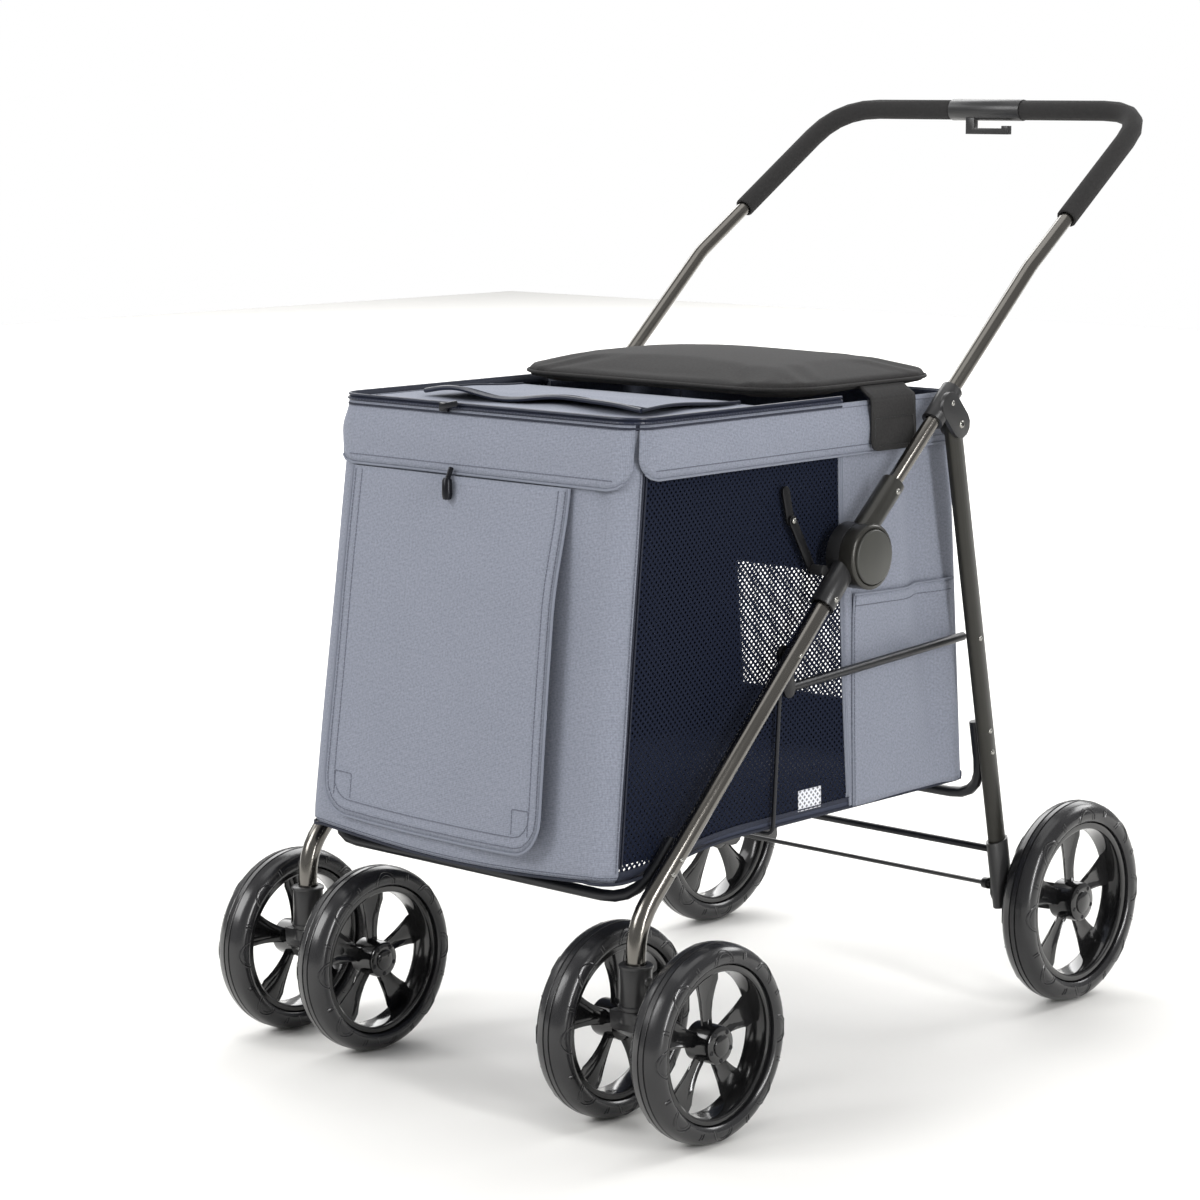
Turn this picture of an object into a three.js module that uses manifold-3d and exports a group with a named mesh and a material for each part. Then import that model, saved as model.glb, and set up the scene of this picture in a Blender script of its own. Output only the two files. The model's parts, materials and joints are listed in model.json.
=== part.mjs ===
// A folding pet stroller: tube frame, twin front casters, soft cabin on a board.
// Millimetres, +Z up, front towards -Y, the stroller's left side towards +X.
// The sizes below are measured from the hub (y) and the floor (z); every mesh is
// moved by SHIFT_Y at the end so that the origin is under the middle of the part.
import * as THREE from 'three';
import { mergeVertices } from 'three/addons/utils/BufferGeometryUtils.js';
import Module from 'manifold-3d';

const wasm = await Module();
wasm.setup();

// ---- clearances ----------------------------------------------------------
const GAP = 0.3;
const SWING_GAP = 0.6;
const FOAM_GAP = 0.6;
const ROUND = 20;
const deg = Math.PI / 180;

// ---- driving sizes -------------------------------------------------------
const FRONT_WHEEL_R = 98.9;
const REAR_WHEEL_R = 112.6;
const TYRE_WIDTH = 40;
const TYRE_SEAT = 0.81;
const TWIN_HALF = 61.5;
const AXLE_R = 5;

const TRACK_X = 233.5;
const CABIN_X = 205;
const HUB_Z = 536;
const HUB_R = 34;
const HUB_INNER_X = 216.5;
const HUB_SPLIT_X = 233.5;
const HUB_OUTER_X = 250;
const BUTTON_R = HUB_R - 5.5;
const BUTTON_PROUD = 4;
const BUTTON_TRAVEL = 3;
const BUTTON_THICK = 8;
const SOCKET_WALL = 3;

const LEG_R = 10;
const SOCKET_R = LEG_R + SOCKET_WALL;
const LEG_ANGLE = 44.6 * deg;
const LEG_OFFSET = 10;
const STEM_Y = -343;
const LEG_BEND = 70;
const LOWER_SOCKET_END = HUB_R + 41;
const SOCKET_DEPTH = 42;

const SLEEVE_R = LEG_R + 6;
const SLEEVE_TOP_Z = 173;
const SLEEVE_BOTTOM_Z = 128;
const PIN_R = 7;
const CASTER_TRAIL = 36.4;
const FORK_HALF_X = 22;

const HANDLE_R = 8;
const HANDLE_ANGLE = 42 * deg;
const HANDLE_OFFSET = 15;
const UPPER_SOCKET_END = HUB_R + 54;
const HANDLE_BEND_Y = 292;
const HANDLE_TOP_ANGLE = 34 * deg;
const GRIP_START = { x: 230, y: 366 };
const GRIP_CORNER = { x: 220, y: 536 };
const GRIP_BEND = 62;
const GRIP_R = HANDLE_R + 3.5;
const CLIP_HALF_X = 50;
const CLIP_R = HANDLE_R + 4.5;
// The open hook under the bar: its post is at `left` and its lip at `right`.
const HOOK = { left: -26, right: 34, post: 12, lip: 9, deep: 28, thick: 7, lipTop: 18, y: [-9, -1] };

const BRACKET_Y = 157;
const BRACKET_Z = 660;
const BRACKET_BOSS_R = 15;
const BRACKET_SLEEVE_R = HANDLE_R + 4;
const BRACKET_LENGTH = 46;
const PIVOT_R = 4;

const REAR_ANGLE = 11.5 * deg;
const REAR_LEG_DEEP = 26;
const REAR_LEG_WIDE = 14;
const REAR_LEG_LENGTH = 515;
const HOUSING_TOP = REAR_LEG_LENGTH - 40;
const HOUSING_END = REAR_LEG_LENGTH + 37;
const HOUSING_WALL = 2.5;
const REAR_AXLE = { y: 353, z: REAR_WHEEL_R };
const REAR_WHEEL_X = 263.5;
const ARM_X = [227.5, 237];
const ARM_R = 15;

const CROSS_R = 6;
const CROSS_BEND = 44;
const FRONT_CROSS = [372, 448];
const REAR_CROSS = [338, 427];
const AXLE_BAR_R = 4;
const AXLE_BAR_AT = HOUSING_TOP + 13;
const BRAKE_ROD = { y: 256, z: 142, r: 2.5 };
const PEDAL_X = [212, 222];
const PEDAL_END = { y: 408, z: 104 };

const SIDE_PIVOT_AT = 138.7;
const SIDE_REAR_AT = 240;
const SIDE_KNEE = { y: -97, z: 408 };
const SIDE_BAR_R = 4.8;
const SIDE_BAR_X = 217;
const SIDE_PLATE_X = [SIDE_BAR_X + 2, SIDE_BAR_X + 5.7];
const WIRE_R = 2.3;
const WIRE_X = CABIN_X + WIRE_R + 2;
const WIRE_FOOT = { y: -106.6, z: 257 };

const LINK_FOOT = { y: -49, z: 525 };
const LINK_TOP = { y: -80.5, z: 577.7 };
const STRIP_X = [CABIN_X + SWING_GAP, CABIN_X + SWING_GAP + 3];
const LINK_X = [STRIP_X[1] + 0.4, STRIP_X[1] + 3.2];
const STRIP_TOP = { y: -88.2, z: 608 };
const LINK_R = 5.5;
const LINK_PIN_R = 2.8;

const FABRIC = 4;
const FLOOR_Z = [262, 273];
const CABIN_FRONT_BOTTOM_Y = -340;
const CABIN_FRONT_TOP_Y = -312;
const CABIN_REAR_BOTTOM_Y = 232;
const CABIN_REAR_TOP_Y = 198;
const CABIN_TOP_Z = 690;
const MESH_REAR_BOTTOM_Y = 26;
const MESH_REAR_TOP_Y = 2;
const DOOR = { left: -150, right: 106, bottom: 296, top: 612 };
const FLAP = { left: -172, right: 128, bottom: 262, top: 629, thick: 3, off: 4 };
const BAND_Z = [634, 695];
const BAND_OUT = 4.4;
const LID_REAR_Y = -92;
const LID_THICK = 4;
const COVER = { front: -58, rear: 200, half: 196, low: 699, thick: 20 };
const TAB = { front: 44, rear: 102, low: 642, high: 694, thick: 3 };

// ---- placed points -------------------------------------------------------
const legDir = [-Math.cos(LEG_ANGLE), -Math.sin(LEG_ANGLE)];
const legOrigin = [-LEG_OFFSET * Math.sin(LEG_ANGLE), HUB_Z + LEG_OFFSET * Math.cos(LEG_ANGLE)];
const handleDir = [Math.cos(HANDLE_ANGLE), Math.sin(HANDLE_ANGLE)];
const handleOrigin = [
  -HANDLE_OFFSET * Math.sin(HANDLE_ANGLE),
  HUB_Z + HANDLE_OFFSET * Math.cos(HANDLE_ANGLE),
];
const rearDir = [Math.sin(REAR_ANGLE), -Math.cos(REAR_ANGLE)];
const along = (origin, dir, t) => [origin[0] + dir[0] * t, origin[1] + dir[1] * t];
const onLeg = (t) => along(legOrigin, legDir, t);
const onHandle = (t) => along(handleOrigin, handleDir, t);
const onRear = (t) => along([BRACKET_Y, BRACKET_Z], rearDir, t);
const bracketAt = (BRACKET_Y - handleOrigin[0]) * handleDir[0] + (BRACKET_Z - handleOrigin[1]) * handleDir[1];
const handleBendAt = (HANDLE_BEND_Y - handleOrigin[0]) / handleDir[0];
const handleBendZ = onHandle(handleBendAt)[1];
const gripZ = (y) => handleBendZ + (y - HANDLE_BEND_Y) * Math.tan(HANDLE_TOP_ANGLE);
const stemTopZ = onLeg((STEM_Y - legOrigin[0]) / legDir[0])[1];
const CASTER_AXLE = { y: STEM_Y + CASTER_TRAIL, z: FRONT_WHEEL_R };
const FRONT_Y = CASTER_AXLE.y - FRONT_WHEEL_R;
const REAR_Y = GRIP_CORNER.y + CLIP_R;
const SHIFT_Y = -(FRONT_Y + REAR_Y) / 2;

// ---- finishes ------------------------------------------------------------
const finish = (color, roughness, metalness) => ({ color, roughness, metalness });
const TUBE = finish('#6b6862', 0.28, 0.85);
const DARK_TUBE = finish('#2a2b30', 0.45, 0.6);
const OLIVE = finish('#43423c', 0.55, 0.2);
const PLASTIC = finish('#33322f', 0.5, 0);
const CAP = finish('#4a4a45', 0.45, 0);
const FOAM = finish('#2d2c2c', 0.95, 0);
const TYRE = finish('#333335', 0.42, 0);
const RIM = finish('#1d1d1f', 0.25, 0);
const CLOTH = finish('#8f94a3', 0.9, 0);
const MESH = finish('#10131f', 0.9, 0);
const BLACK_CLOTH = finish('#3b3a3a', 0.92, 0);
const STEEL = finish('#4b4b4c', 0.4, 0.8);

// ---- shape helpers -------------------------------------------------------
// A path that visits its points one by one, so that each step of a sweep is a point.
class PointPath extends THREE.Curve {
  constructor(points) {
    super();
    this.points = points;
  }

  getUtoTmapping(u) {
    return u;
  }

  getPoint(t) {
    const last = this.points.length - 1;
    const i = Math.min(Math.floor(t * last + 1e-9), last - 1);
    return this.points[i].clone().lerp(this.points[i + 1], t * last - i);
  }

  getTangent(t) {
    const last = this.points.length - 1;
    const i = Math.round(t * last);
    const tangent = new THREE.Vector3();
    for (const k of [i - 1, i]) {
      if (k >= 0 && k < last) {
        tangent.add(this.points[k + 1].clone().sub(this.points[k]).normalize());
      }
    }
    return tangent.normalize();
  }
}

// Corners [x, y, z, bend radius]; every inner corner is rounded in `steps` steps.
function bentPath(corners, steps = 5) {
  const at = corners.map(([x, y, z]) => new THREE.Vector3(x, y, z));
  const points = [at[0]];
  for (let i = 1; i < at.length - 1; i += 1) {
    const back = at[i - 1].clone().sub(at[i]).normalize();
    const ahead = at[i + 1].clone().sub(at[i]).normalize();
    const half = Math.acos(back.dot(ahead)) / 2;
    const cut = corners[i][3] / Math.tan(half);
    const curve = new THREE.QuadraticBezierCurve3(
      at[i].clone().addScaledVector(back, cut),
      at[i],
      at[i].clone().addScaledVector(ahead, cut),
    );
    points.push(...curve.getPoints(steps));
  }
  points.push(at[at.length - 1]);
  return new PointPath(points);
}

function ellipse(a, b, sides) {
  const shape = new THREE.Shape();
  for (let i = 0; i < sides; i += 1) {
    const t = (2 * Math.PI * (i + 0.5)) / sides;
    const p = [a * Math.cos(t), b * Math.sin(t)];
    if (i === 0) shape.moveTo(...p);
    else shape.lineTo(...p);
  }
  shape.closePath();
  return shape;
}

const sweep = (shape, path) => new THREE.ExtrudeGeometry(shape, {
  steps: path.points.length - 1,
  bevelEnabled: false,
  extrudePath: path,
});

function box(xs, ys, zs) {
  const geometry = new THREE.BoxGeometry(xs[1] - xs[0], ys[1] - ys[0], zs[1] - zs[0]);
  return geometry.translate((xs[0] + xs[1]) / 2, (ys[0] + ys[1]) / 2, (zs[0] + zs[1]) / 2);
}

function rod(p, q, r, sides = ROUND) {
  const a = new THREE.Vector3(...p);
  const b = new THREE.Vector3(...q);
  const geometry = new THREE.CylinderGeometry(r, r, a.distanceTo(b), sides);
  const turn = new THREE.Quaternion().setFromUnitVectors(
    new THREE.Vector3(0, 1, 0),
    b.clone().sub(a).normalize(),
  );
  geometry.applyQuaternion(turn);
  const middle = a.add(b).multiplyScalar(0.5);
  return geometry.translate(middle.x, middle.y, middle.z);
}

const discX = (r, xs, y, z, sides = ROUND) => rod([xs[0], y, z], [xs[1], y, z], r, sides);

// A flat plate in the Y-Z plane, from x0 to x1, with an outline of [y, z] points.
function plate(outline, xs) {
  const shape = outline instanceof THREE.Shape
    ? outline
    : new THREE.Shape(outline.map(([y, z]) => new THREE.Vector2(y, z)));
  const geometry = new THREE.ExtrudeGeometry(shape, {
    depth: Math.abs(xs[1] - xs[0]),
    bevelEnabled: false,
  });
  const turn = new THREE.Matrix4().makeBasis(
    new THREE.Vector3(0, 1, 0),
    new THREE.Vector3(0, 0, 1),
    new THREE.Vector3(1, 0, 0),
  );
  return geometry.applyMatrix4(turn).translate(Math.min(...xs), 0, 0);
}

// A straight bar with round ends between two [y, z] points.
function bar(p, q, r, xs) {
  const angle = Math.atan2(q[1] - p[1], q[0] - p[0]);
  const shape = new THREE.Shape();
  for (const [end, start] of [[q, angle - Math.PI / 2], [p, angle + Math.PI / 2]]) {
    for (let i = 0; i <= 6; i += 1) {
      const t = start + (Math.PI * i) / 6;
      const at = [end[0] + r * Math.cos(t), end[1] + r * Math.sin(t)];
      if (shape.curves.length === 0 && i === 0 && end === q) shape.moveTo(...at);
      else shape.lineTo(...at);
    }
  }
  shape.closePath();
  return plate(shape, xs);
}

function solid(geometry) {
  const plain = geometry.clone();
  plain.deleteAttribute('normal');
  plain.deleteAttribute('uv');
  const merged = mergeVertices(plain, 1e-4);
  return new wasm.Manifold(new wasm.Mesh({
    numProp: 3,
    vertProperties: new Float32Array(merged.attributes.position.array),
    triVerts: new Uint32Array(merged.index.array),
  }));
}

function surface(body) {
  const made = body.getMesh();
  const geometry = new THREE.BufferGeometry();
  geometry.setAttribute('position', new THREE.BufferAttribute(made.vertProperties, 3));
  geometry.setIndex(new THREE.BufferAttribute(made.triVerts, 1));
  geometry.computeVertexNormals();
  return geometry;
}

const joined = (geometries) => geometries.map(solid).reduce((a, b) => a.add(b));
const without = (body, geometries) => geometries.map(solid).reduce((a, b) => a.subtract(b), body);
const shaped = (add, cut = []) => surface(without(joined(add), cut));
const sided = (s, xs) => (s > 0 ? xs : [-xs[1], -xs[0]]);

// ---- the group -----------------------------------------------------------
const group = new THREE.Group();
const add = (name, geometry, look) => {
  const material = new THREE.MeshStandardMaterial(look);
  material.name = `${name}_finish`;
  const mesh = new THREE.Mesh(geometry.translate(0, SHIFT_Y, 0), material);
  mesh.name = name;
  group.add(mesh);
};

// ---- front frame ---------------------------------------------------------
function frontLeg(s, side) {
  const start = onLeg(LOWER_SOCKET_END - SOCKET_DEPTH + 1);
  const path = bentPath([
    [s * TRACK_X, ...start],
    [s * TRACK_X, STEM_Y, stemTopZ, LEG_BEND],
    [s * TRACK_X, STEM_Y, SLEEVE_BOTTOM_Z + 22],
  ]);
  const pivot = onLeg(SIDE_PIVOT_AT);
  const bore = discX(PIVOT_R + GAP, sided(s, [TRACK_X - LEG_R - 2, TRACK_X - 2]), ...pivot, 12);
  add(`front_leg_${side}`, shaped([sweep(ellipse(LEG_R, LEG_R, 16), path)], [bore]), TUBE);
}

function hubLower(s, side) {
  const inner = sided(s, [HUB_INNER_X, HUB_SPLIT_X - GAP / 2]);
  const outer = sided(s, [HUB_SPLIT_X - GAP, HUB_OUTER_X + 20]);
  const end = onLeg(LOWER_SOCKET_END);
  const mouth = onLeg(LOWER_SOCKET_END - SOCKET_DEPTH);
  const beyond = onLeg(LOWER_SOCKET_END + 5);
  const x = s * TRACK_X;
  add(`hub_lower_${side}`, shaped(
    [
      discX(HUB_R, inner, 0, HUB_Z, 28),
      rod([x, ...onLeg(0)], [x, ...end], SOCKET_R),
      discX(LINK_R, sided(s, [LINK_X[1] + SWING_GAP, TRACK_X - 6]), LINK_FOOT.y, LINK_FOOT.z, 14),
    ],
    [
      discX(HUB_R + SWING_GAP, outer, 0, HUB_Z, 28),
      rod([x, ...mouth], [x, ...beyond], LEG_R + GAP, 16),
      discX(LINK_PIN_R + GAP, sided(s, [LINK_X[1], LINK_X[1] + 8]), LINK_FOOT.y, LINK_FOOT.z, 12),
    ],
  ), CAP);
}

function casterSleeve(s, side) {
  const x = s * TRACK_X;
  add(`caster_sleeve_${side}`, shaped(
    [
      rod([x, STEM_Y, SLEEVE_BOTTOM_Z], [x, STEM_Y, SLEEVE_TOP_Z], SLEEVE_R),
      discX(5, sided(s, [TRACK_X, TRACK_X + SLEEVE_R + 2]), STEM_Y, SLEEVE_TOP_Z - 15, 12),
    ],
    [
      rod([x, STEM_Y, SLEEVE_BOTTOM_Z + 21], [x, STEM_Y, SLEEVE_TOP_Z + 5], LEG_R + GAP, 16),
      rod([x, STEM_Y, SLEEVE_BOTTOM_Z - 5], [x, STEM_Y, SLEEVE_BOTTOM_Z + 17], PIN_R + GAP, 16),
    ],
  ), PLASTIC);
}

// A U-shaped tube: down along a leg on both sides and across between them.
function crossTube(name, on, [from, to], x, look) {
  const top = on(from);
  const low = on(to);
  const path = bentPath([
    [x, ...top],
    [x, ...low, CROSS_BEND],
    [-x, ...low, CROSS_BEND],
    [-x, ...top],
  ]);
  add(name, sweep(ellipse(CROSS_R, CROSS_R, 12), path), look);
}

// ---- handle --------------------------------------------------------------
function hubUpper(s, side) {
  const x = s * TRACK_X;
  const outer = sided(s, [HUB_SPLIT_X + GAP / 2, HUB_OUTER_X]);
  const inner = sided(s, [HUB_INNER_X - 20, HUB_SPLIT_X + GAP]);
  const mouth = onHandle(UPPER_SOCKET_END - SOCKET_DEPTH);
  const beyond = onHandle(UPPER_SOCKET_END + 5);
  const pocket = sided(s, [HUB_OUTER_X + BUTTON_PROUD - BUTTON_THICK - BUTTON_TRAVEL - 1, HUB_OUTER_X + 5]);
  add(`hub_upper_${side}`, shaped(
    [
      discX(HUB_R, outer, 0, HUB_Z, 28),
      rod([x, ...onHandle(12)], [x, ...onHandle(UPPER_SOCKET_END)], SOCKET_R),
    ],
    [
      discX(HUB_R + SWING_GAP, inner, 0, HUB_Z, 28),
      rod([x, ...mouth], [x, ...beyond], HANDLE_R + GAP, 16),
      discX(BUTTON_R + GAP, pocket, 0, HUB_Z, 28),
    ],
  ), CAP);
}

function hubButton(s, side) {
  const high = HUB_OUTER_X + BUTTON_PROUD;
  const xs = sided(s, [high - BUTTON_THICK, high]);
  add(`hub_button_${side}`, discX(BUTTON_R, xs, 0, HUB_Z, 28), CAP);
}

const gripCorners = (s) => [
  [s * GRIP_START.x, GRIP_START.y, gripZ(GRIP_START.y)],
  [s * GRIP_CORNER.x, GRIP_CORNER.y, gripZ(GRIP_CORNER.y), GRIP_BEND],
];

function handleTube() {
  const start = onHandle(UPPER_SOCKET_END - SOCKET_DEPTH + 1);
  const half = (s) => [
    [s * TRACK_X, ...start],
    [s * TRACK_X, HANDLE_BEND_Y, handleBendZ, 120],
    gripCorners(s)[1],
  ];
  const path = bentPath([...half(1), ...half(-1).reverse()]);
  add('handle_tube', sweep(ellipse(HANDLE_R, HANDLE_R, 14), path), TUBE);
}

function grip(s, side) {
  const lean = (TRACK_X - GRIP_CORNER.x) / (GRIP_CORNER.y - HANDLE_BEND_Y);
  const x = TRACK_X - lean * (GRIP_START.y - HANDLE_BEND_Y);
  const corner = gripCorners(s)[1];
  const path = bentPath([
    [s * x, GRIP_START.y, gripZ(GRIP_START.y)],
    corner,
    [s * (CLIP_HALF_X + 0.5), corner[1], corner[2]],
  ]);
  const ring = ellipse(GRIP_R, GRIP_R, 16);
  ring.holes.push(ellipse(HANDLE_R + FOAM_GAP, HANDLE_R + FOAM_GAP, 14));
  add(`grip_${side}`, sweep(ring, path), FOAM);
}

function handleClip() {
  const y = GRIP_CORNER.y;
  const z = gripZ(y);
  const { left, right, post, lip, deep, thick, lipTop } = HOOK;
  const across = HOOK.y.map((v) => y + v);
  add('handle_clip', shaped(
    [
      discX(CLIP_R, [-CLIP_HALF_X, CLIP_HALF_X], y, z),
      box([left, left + post], across, [z - deep, z - HANDLE_R - 1]),
      box([left, right], across, [z - deep, z - deep + thick]),
      box([right - lip, right], across, [z - deep, z - lipTop]),
    ],
    [discX(HANDLE_R + GAP, [-CLIP_HALF_X - 5, CLIP_HALF_X + 5], y, z, 14)],
  ), PLASTIC);
}

function pivotBracket(s, side) {
  const x = s * TRACK_X;
  const low = onHandle(bracketAt - BRACKET_LENGTH / 2);
  const high = onHandle(bracketAt + BRACKET_LENGTH / 2);
  const middle = onHandle(bracketAt);
  const face = TRACK_X + REAR_LEG_WIDE / 2 + GAP;
  const web = sided(s, [face, face + 5]);
  add(`pivot_bracket_${side}`, shaped(
    [
      rod([x, ...low], [x, ...high], BRACKET_SLEEVE_R),
      bar([BRACKET_Y, BRACKET_Z], middle, BRACKET_BOSS_R, web),
      discX(PIVOT_R, sided(s, [TRACK_X - 5, face + 2]), BRACKET_Y, BRACKET_Z, 14),
    ],
    [
      rod(
        [x, ...onHandle(bracketAt - BRACKET_LENGTH)],
        [x, ...onHandle(bracketAt + BRACKET_LENGTH)],
        HANDLE_R + GAP,
        14,
      ),
    ],
  ), OLIVE);
}

// ---- rear frame ----------------------------------------------------------
const rearPath = (s, from, to) => new PointPath(
  [from, to].map((t) => new THREE.Vector3(s * TRACK_X, ...onRear(t))),
);

function rearLeg(s, side) {
  const body = sweep(ellipse(REAR_LEG_WIDE / 2, REAR_LEG_DEEP / 2, 20), rearPath(s, 0, REAR_LEG_LENGTH));
  const half = sided(s, [TRACK_X - REAR_LEG_WIDE / 2, TRACK_X + REAR_LEG_WIDE / 2]);
  const eye = discX(REAR_LEG_DEEP / 2, half, BRACKET_Y, BRACKET_Z);
  const bore = discX(PIVOT_R + GAP, sided(s, [TRACK_X - 6, TRACK_X + 12]), BRACKET_Y, BRACKET_Z, 14);
  add(`rear_leg_${side}`, shaped([body, eye], [bore]), OLIVE);
}

function rearHousing(s, side) {
  const wide = REAR_LEG_WIDE / 2 + HOUSING_WALL;
  const deep = REAR_LEG_DEEP / 2 + HOUSING_WALL;
  const foot = onRear(HOUSING_END - 18);
  const x = (v) => s * v;
  const armX = sided(s, ARM_X);
  add(`rear_housing_${side}`, shaped(
    [
      sweep(ellipse(wide, deep, 20), rearPath(s, HOUSING_TOP, HOUSING_END)),
      bar(foot, [REAR_AXLE.y, REAR_AXLE.z], ARM_R, armX),
      rod(
        [x(ARM_X[1] - 2), REAR_AXLE.y, REAR_AXLE.z],
        [x(REAR_WHEEL_X + TYRE_WIDTH * 0.4), REAR_AXLE.y, REAR_AXLE.z],
        AXLE_R,
        14,
      ),
    ],
    [
      sweep(
        ellipse(REAR_LEG_WIDE / 2 + GAP, REAR_LEG_DEEP / 2 + GAP, 20),
        rearPath(s, HOUSING_TOP - 5, REAR_LEG_LENGTH + 1),
      ),
    ],
  ), PLASTIC);
}

function axleBar() {
  const x = TRACK_X - REAR_LEG_WIDE / 2 - HOUSING_WALL - GAP;
  const at = onRear(AXLE_BAR_AT);
  add('rear_axle_bar', rod([-x, ...at], [x, ...at], AXLE_BAR_R, 12), DARK_TUBE);
}

function brakeBar() {
  const pieces = [-1, 1].flatMap((s) => [
    bar(
      [BRAKE_ROD.y, BRAKE_ROD.z],
      [PEDAL_END.y, PEDAL_END.z],
      6,
      sided(s, [PEDAL_X[0] + 2, PEDAL_X[1] - 2]),
    ),
    bar([PEDAL_END.y - 26, PEDAL_END.z + 6], [PEDAL_END.y, PEDAL_END.z], 9, sided(s, PEDAL_X)),
  ]);
  const reach = PEDAL_X[1];
  const shaft = rod(
    [-reach, BRAKE_ROD.y, BRAKE_ROD.z],
    [reach, BRAKE_ROD.y, BRAKE_ROD.z],
    BRAKE_ROD.r,
    12,
  );
  add('brake_bar', shaped([shaft, ...pieces]), DARK_TUBE);
}

// ---- side links, wire and small links ------------------------------------
function sideBar(s, side) {
  const x = s * SIDE_BAR_X;
  const pivot = onLeg(SIDE_PIVOT_AT);
  const knee = [SIDE_KNEE.y, SIDE_KNEE.z];
  add(`side_bar_${side}`, shaped([
    rod([x, ...knee], [x, ...onRear(SIDE_REAR_AT)], SIDE_BAR_R, 14),
    bar(pivot, knee, 9, sided(s, SIDE_PLATE_X)),
    discX(PIVOT_R, sided(s, [SIDE_PLATE_X[1] - 1, TRACK_X - 3]), ...pivot, 12),
    discX(WIRE_R - 0.5, sided(s, [WIRE_X - 1, SIDE_BAR_X]), ...knee, 10),
    discX(6, sided(s, [SIDE_BAR_X - 4, SIDE_BAR_X + 4]), ...knee, 14),
  ]), DARK_TUBE);
}

function hangerWire() {
  const { y, z } = SIDE_KNEE;
  const top = z - 2;
  const path = bentPath([
    [WIRE_X, y, top],
    [WIRE_X, WIRE_FOOT.y, WIRE_FOOT.z, 10],
    [-WIRE_X, WIRE_FOOT.y, WIRE_FOOT.z, 10],
    [-WIRE_X, y, top],
  ], 4);
  const eyes = [-1, 1].map((s) => discX(5, sided(s, [WIRE_X - WIRE_R, WIRE_X + WIRE_R]), y, z, 14));
  const bores = [-1, 1].map((s) => discX(WIRE_R - 0.5 + GAP, sided(s, [WIRE_X - 6, WIRE_X + 6]), y, z, 10));
  add('hanger_wire', shaped([sweep(ellipse(WIRE_R, WIRE_R, 8), path), ...eyes], bores), STEEL);
}

function cabinLink(s, side) {
  const foot = [LINK_FOOT.y, LINK_FOOT.z];
  const top = [LINK_TOP.y, LINK_TOP.z];
  add(`cabin_link_${side}`, shaped(
    [
      bar(foot, top, LINK_R, sided(s, LINK_X)),
      discX(LINK_PIN_R, sided(s, [LINK_X[0] + 1, LINK_X[1] + 7]), ...foot, 12),
    ],
    [discX(LINK_PIN_R + GAP, sided(s, [LINK_X[0] - 5, LINK_X[1] + 5]), ...top, 12)],
  ), STEEL);
  add(`cabin_strip_${side}`, shaped([
    bar(top, [STRIP_TOP.y, STRIP_TOP.z], LINK_R, sided(s, STRIP_X)),
    discX(LINK_PIN_R, sided(s, [STRIP_X[0] + 1, LINK_X[1] + 0.5]), ...top, 12),
  ]), STEEL);
}

// ---- cabin ---------------------------------------------------------------
const frontY = (z) => CABIN_FRONT_BOTTOM_Y
  + ((CABIN_FRONT_TOP_Y - CABIN_FRONT_BOTTOM_Y) * (z - FLOOR_Z[0])) / (CABIN_TOP_Z - FLOOR_Z[0]);
const rearY = (z) => CABIN_REAR_BOTTOM_Y
  + ((CABIN_REAR_TOP_Y - CABIN_REAR_BOTTOM_Y) * (z - FLOOR_Z[0])) / (CABIN_TOP_Z - FLOOR_Z[0]);
const seamY = (z) => MESH_REAR_BOTTOM_Y
  + ((MESH_REAR_TOP_Y - MESH_REAR_BOTTOM_Y) * (z - FLOOR_Z[0])) / (CABIN_TOP_Z - FLOOR_Z[0]);

// A leaning wall across the cabin: the outer face follows edge(z).
function crossWall(edge, towards, x, zs, thick = FABRIC) {
  return plate([
    [edge(zs[0]), zs[0]],
    [edge(zs[0]) + towards * thick, zs[0]],
    [edge(zs[1]) + towards * thick, zs[1]],
    [edge(zs[1]), zs[1]],
  ], x);
}

function cabinShell() {
  const low = FLOOR_Z[1] + GAP;
  const walls = [low, CABIN_TOP_Z];
  const floorX = CABIN_X - GAP;
  const floorY = [frontY(FLOOR_Z[0]) + 1, rearY(FLOOR_Z[0]) - 1];
  add('cabin_floor', box([-floorX, floorX], floorY, FLOOR_Z), CLOTH);
  const front = crossWall(frontY, 1, [-CABIN_X, CABIN_X], walls);
  const doorY = [frontY(low) - 20, frontY(CABIN_TOP_Z) + 20];
  const door = box([DOOR.left, DOOR.right], doorY, [DOOR.bottom, DOOR.top]);
  add('front_panel', shaped([front], [door]), CLOTH);
  add('back_panel', crossWall(rearY, -1, [-CABIN_X, CABIN_X], walls), CLOTH);
  for (const [s, side] of [[1, 'left'], [-1, 'right']]) {
    const xs = sided(s, [CABIN_X - FABRIC, CABIN_X]);
    const inset = FABRIC + GAP;
    const quad = (a, da, b, db) => [
      [a(low) + da, low],
      [b(low) + db, low],
      [b(CABIN_TOP_Z) + db, CABIN_TOP_Z],
      [a(CABIN_TOP_Z) + da, CABIN_TOP_Z],
    ];
    add(`side_mesh_${side}`, plate(quad(frontY, inset, seamY, -GAP / 2), xs), MESH);
    add(`side_rear_${side}`, plate(quad(seamY, GAP / 2, rearY, -inset), xs), CLOTH);
  }
}

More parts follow.
